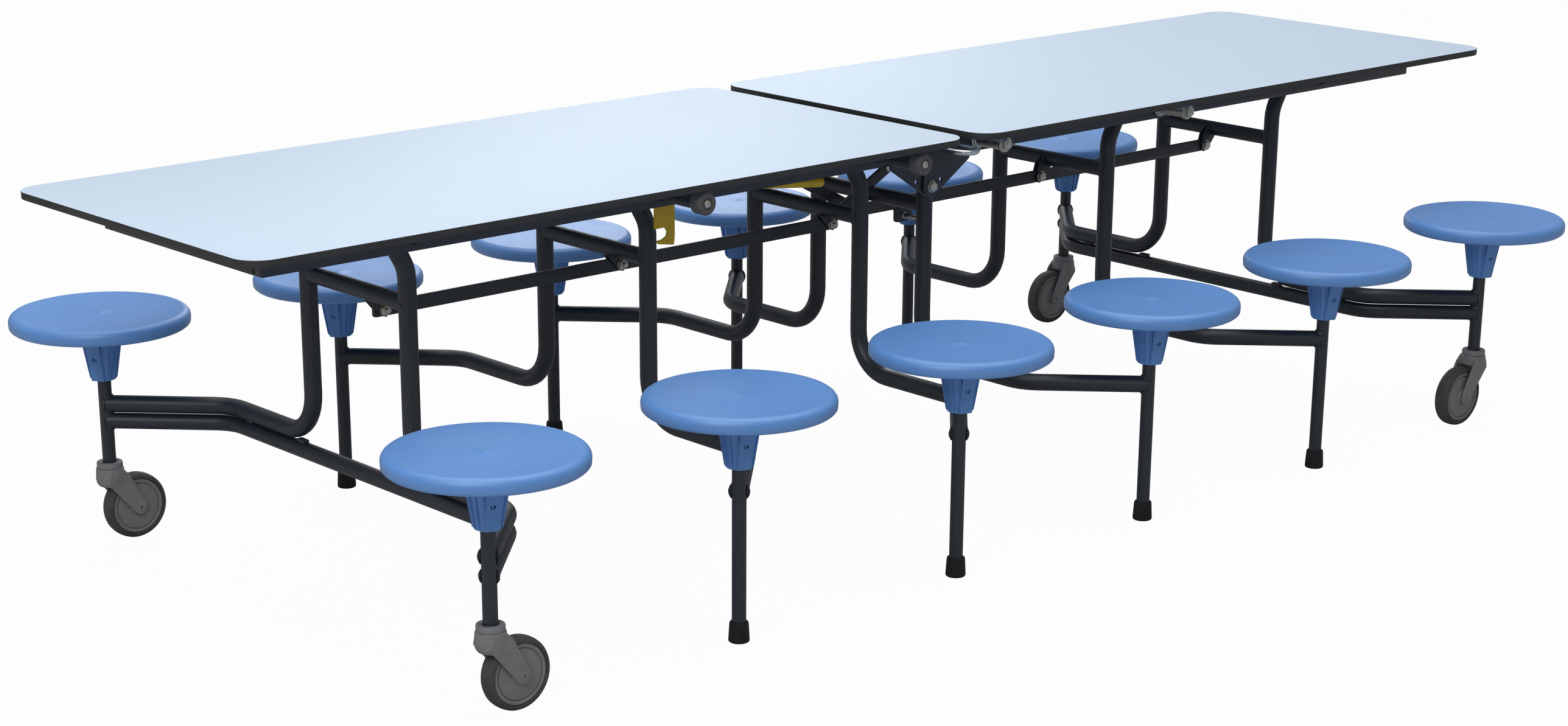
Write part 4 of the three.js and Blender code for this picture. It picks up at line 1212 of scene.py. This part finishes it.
class TABLE_OT_safety_hook(bpy.types.Operator):
    """Yellow safety hook plate with its release handle and grip"""

    bl_idname = "cafeteria.safety_hook"
    bl_label = "Safety hook and handle"

    def execute(self, context):
        pivot_x = -MIDDLE_PIVOT_X
        beak = [
            (14, -72), (14, -17), (-14, -8), (4, 17), (52, 8), (60, -14), (60, -90), (58, -106), (22, -100),
            (19, -94), (31, -93), (41, -88), (43, -80), (37, -72),
        ]
        easing = [1.0, 2, 8, 10, 10, 6, 2, 2.5, 2, 1.5, 4, 5, 5, 3]
        corners = [(pivot_x + x / 1000, PIVOT_Z + z / 1000) for x, z in beak]
        leaf = side_plate(eased(corners, [e / 1000 for e in easing], 4), -0.207, -0.203, 0.0006)
        drill(leaf, ROD_HOLE, pivot_x, PIVOT_Z, -0.22, -0.19, 36)
        hub = crossbar(0.0215, pivot_x, PIVOT_Z, -0.2069, -0.2031, 0.0005, 40, ROD_HOLE)
        settle(joined(leaf, hub), "hook_plate", "hook_lever", "yellow", "safety_hook")
        y = -0.1967
        start = Vector((pivot_x + 0.025, y, PIVOT_Z))
        bend = Vector((pivot_x + 0.11, y, PIVOT_Z - 0.008))
        end = Vector((pivot_x + 0.42, y, PIVOT_Z - 0.043))
        along = (end - bend).normalized()
        bar = pipe([start, bend, end], [0.26], 0.006, 24)
        settle(bar, "handle_rod", "hook_lever", "frame", "release_handle")
        tip = end + along * 0.005
        run = 0.31
        grip = turned(
            [
                (0.0062, 0.001), (0.0078, 0), (0.009, 0.0008), (0.0095, 0.003), (0.0095, run - 0.006),
                (0.0088, run - 0.0025), (0.0066, run - 0.0006), (0, run), (0, run - 0.0048),
                (0.0062, run - 0.0048), (0.0062, 0.001),
            ],
            tip - along * run, along, 40,
        )
        settle(grip, "grip_sleeve", "hook_lever", "yellow_grip", "handle_grip", angle=50)
        return {"FINISHED"}


class TABLE_OT_stage(bpy.types.Operator):
    """Pale floor, soft studio light and the camera"""

    bl_idname = "cafeteria.stage"
    bl_label = "Stage"

    def floor(self):
        bare()
        bpy.ops.mesh.primitive_plane_add(size=60)
        ground = bpy.context.object
        ground.name = "studio_floor"
        material = bpy.data.materials.new("studio_floor")
        material.use_nodes = True
        tree = NodeTree(material.node_tree)
        seen = tree.node("ShaderNodeLightPath", output="Is Camera Ray")
        matt = tree.node("ShaderNodeBsdfDiffuse", {}, {"Color": (0.5, 0.5, 0.5, 1)})
        glow = tree.node("ShaderNodeEmission", {}, {"Color": (1, 1, 1, 1), "Strength": 1.0})
        mixed = tree.node("ShaderNodeMixShader", {}, {0: tree.line(seen, 0.97, 0.0), 1: matt, 2: glow})
        tree.node("ShaderNodeOutputMaterial", {}, {"Surface": mixed})
        ground.data.materials.append(material)

    def sky(self, scene):
        world = bpy.data.worlds.new("studio")
        scene.world = world
        world.use_nodes = True
        tree = NodeTree(world.node_tree)
        camera = tree.node("ShaderNodeLightPath", output="Is Camera Ray")
        strength = tree.line(camera, 0.7, 0.3)
        sky = tree.node("ShaderNodeBackground", {}, {"Color": (1, 1, 1, 1), "Strength": strength})
        tree.node("ShaderNodeOutputWorld", {}, {"Surface": sky})

    def lamp(self, name, place, aim, power, size):
        bare()
        bpy.ops.object.light_add(type="AREA", location=place)
        lamp = bpy.context.object
        lamp.name = name
        lamp.data.energy = power
        lamp.data.shape = "DISK"
        lamp.data.size = size
        lamp.rotation_euler = (Vector(aim) - Vector(place)).to_track_quat("-Z", "Y").to_euler()

    def execute(self, context):
        scene = context.scene
        scene.view_settings.view_transform = "Standard"
        self.floor()
        self.sky(scene)
        self.lamp("overhead", (0.6, 0.4, 7.2), (0.2, 0, 0.5), 360, 10.0)
        self.lamp("key", (-4.2, -2.2, 3.4), (-0.4, 0, 0.4), 76, 2.4)
        self.lamp("back", (3.0, 4.2, 2.6), (0, 0, 0.5), 40, 2.4)
        bare()
        bpy.ops.object.camera_add(location=(-3.9454, -4.1809, 1.7662))
        camera = context.object
        azimuth, drop = math.radians(41.119), math.radians(18.255)
        forward = Vector(
            (math.sin(azimuth) * math.cos(drop), math.cos(azimuth) * math.cos(drop), -math.sin(drop))
        )
        camera.rotation_euler = forward.to_track_quat("-Z", "Y").to_euler()
        camera.data.sensor_width = 36
        camera.data.lens = 68.59
        camera.data.shift_x = 0.0378
        camera.data.shift_y = 0.111
        camera.data.clip_end = 100
        scene.camera = camera
        return {"FINISHED"}


STEPS = (
    TABLE_OT_stage,
    TABLE_OT_tops,
    TABLE_OT_underframes,
    TABLE_OT_leg_frames,
    TABLE_OT_stools,
    TABLE_OT_feet,
    TABLE_OT_casters,
    TABLE_OT_pivot_rods,
    TABLE_OT_linkage,
    TABLE_OT_hinge_bolts,
    TABLE_OT_lift_loop,
    TABLE_OT_safety_hook,
)


class TABLE_PT_panel(bpy.types.Panel):
    """Sizes, colours and steps of the table"""

    bl_label = "Folding table"
    bl_idname = "TABLE_PT_panel"
    bl_space_type = "VIEW_3D"
    bl_region_type = "UI"
    bl_category = "Table"

    def draw(self, context):
        for group in (context.scene.table_sizes, context.scene.table_colours):
            box = self.layout.box()
            for name in group.__annotations__:
                box.prop(group, name)
        for step in STEPS:
            self.layout.operator(step.bl_idname)


CLASSES = (TableSizes, TableColours, *STEPS, TABLE_PT_panel)


def register():
    for each in CLASSES:
        bpy.utils.register_class(each)
    bpy.types.Scene.table_sizes = PointerProperty(type=TableSizes)
    bpy.types.Scene.table_colours = PointerProperty(type=TableColours)


def unregister():
    del bpy.types.Scene.table_colours
    del bpy.types.Scene.table_sizes
    for each in reversed(CLASSES):
        bpy.utils.unregister_class(each)


def main():
    register()
    for step in STEPS:
        group, name = step.bl_idname.split(".")
        getattr(getattr(bpy.ops, group), name)()


if __name__ == "__main__":
    main()
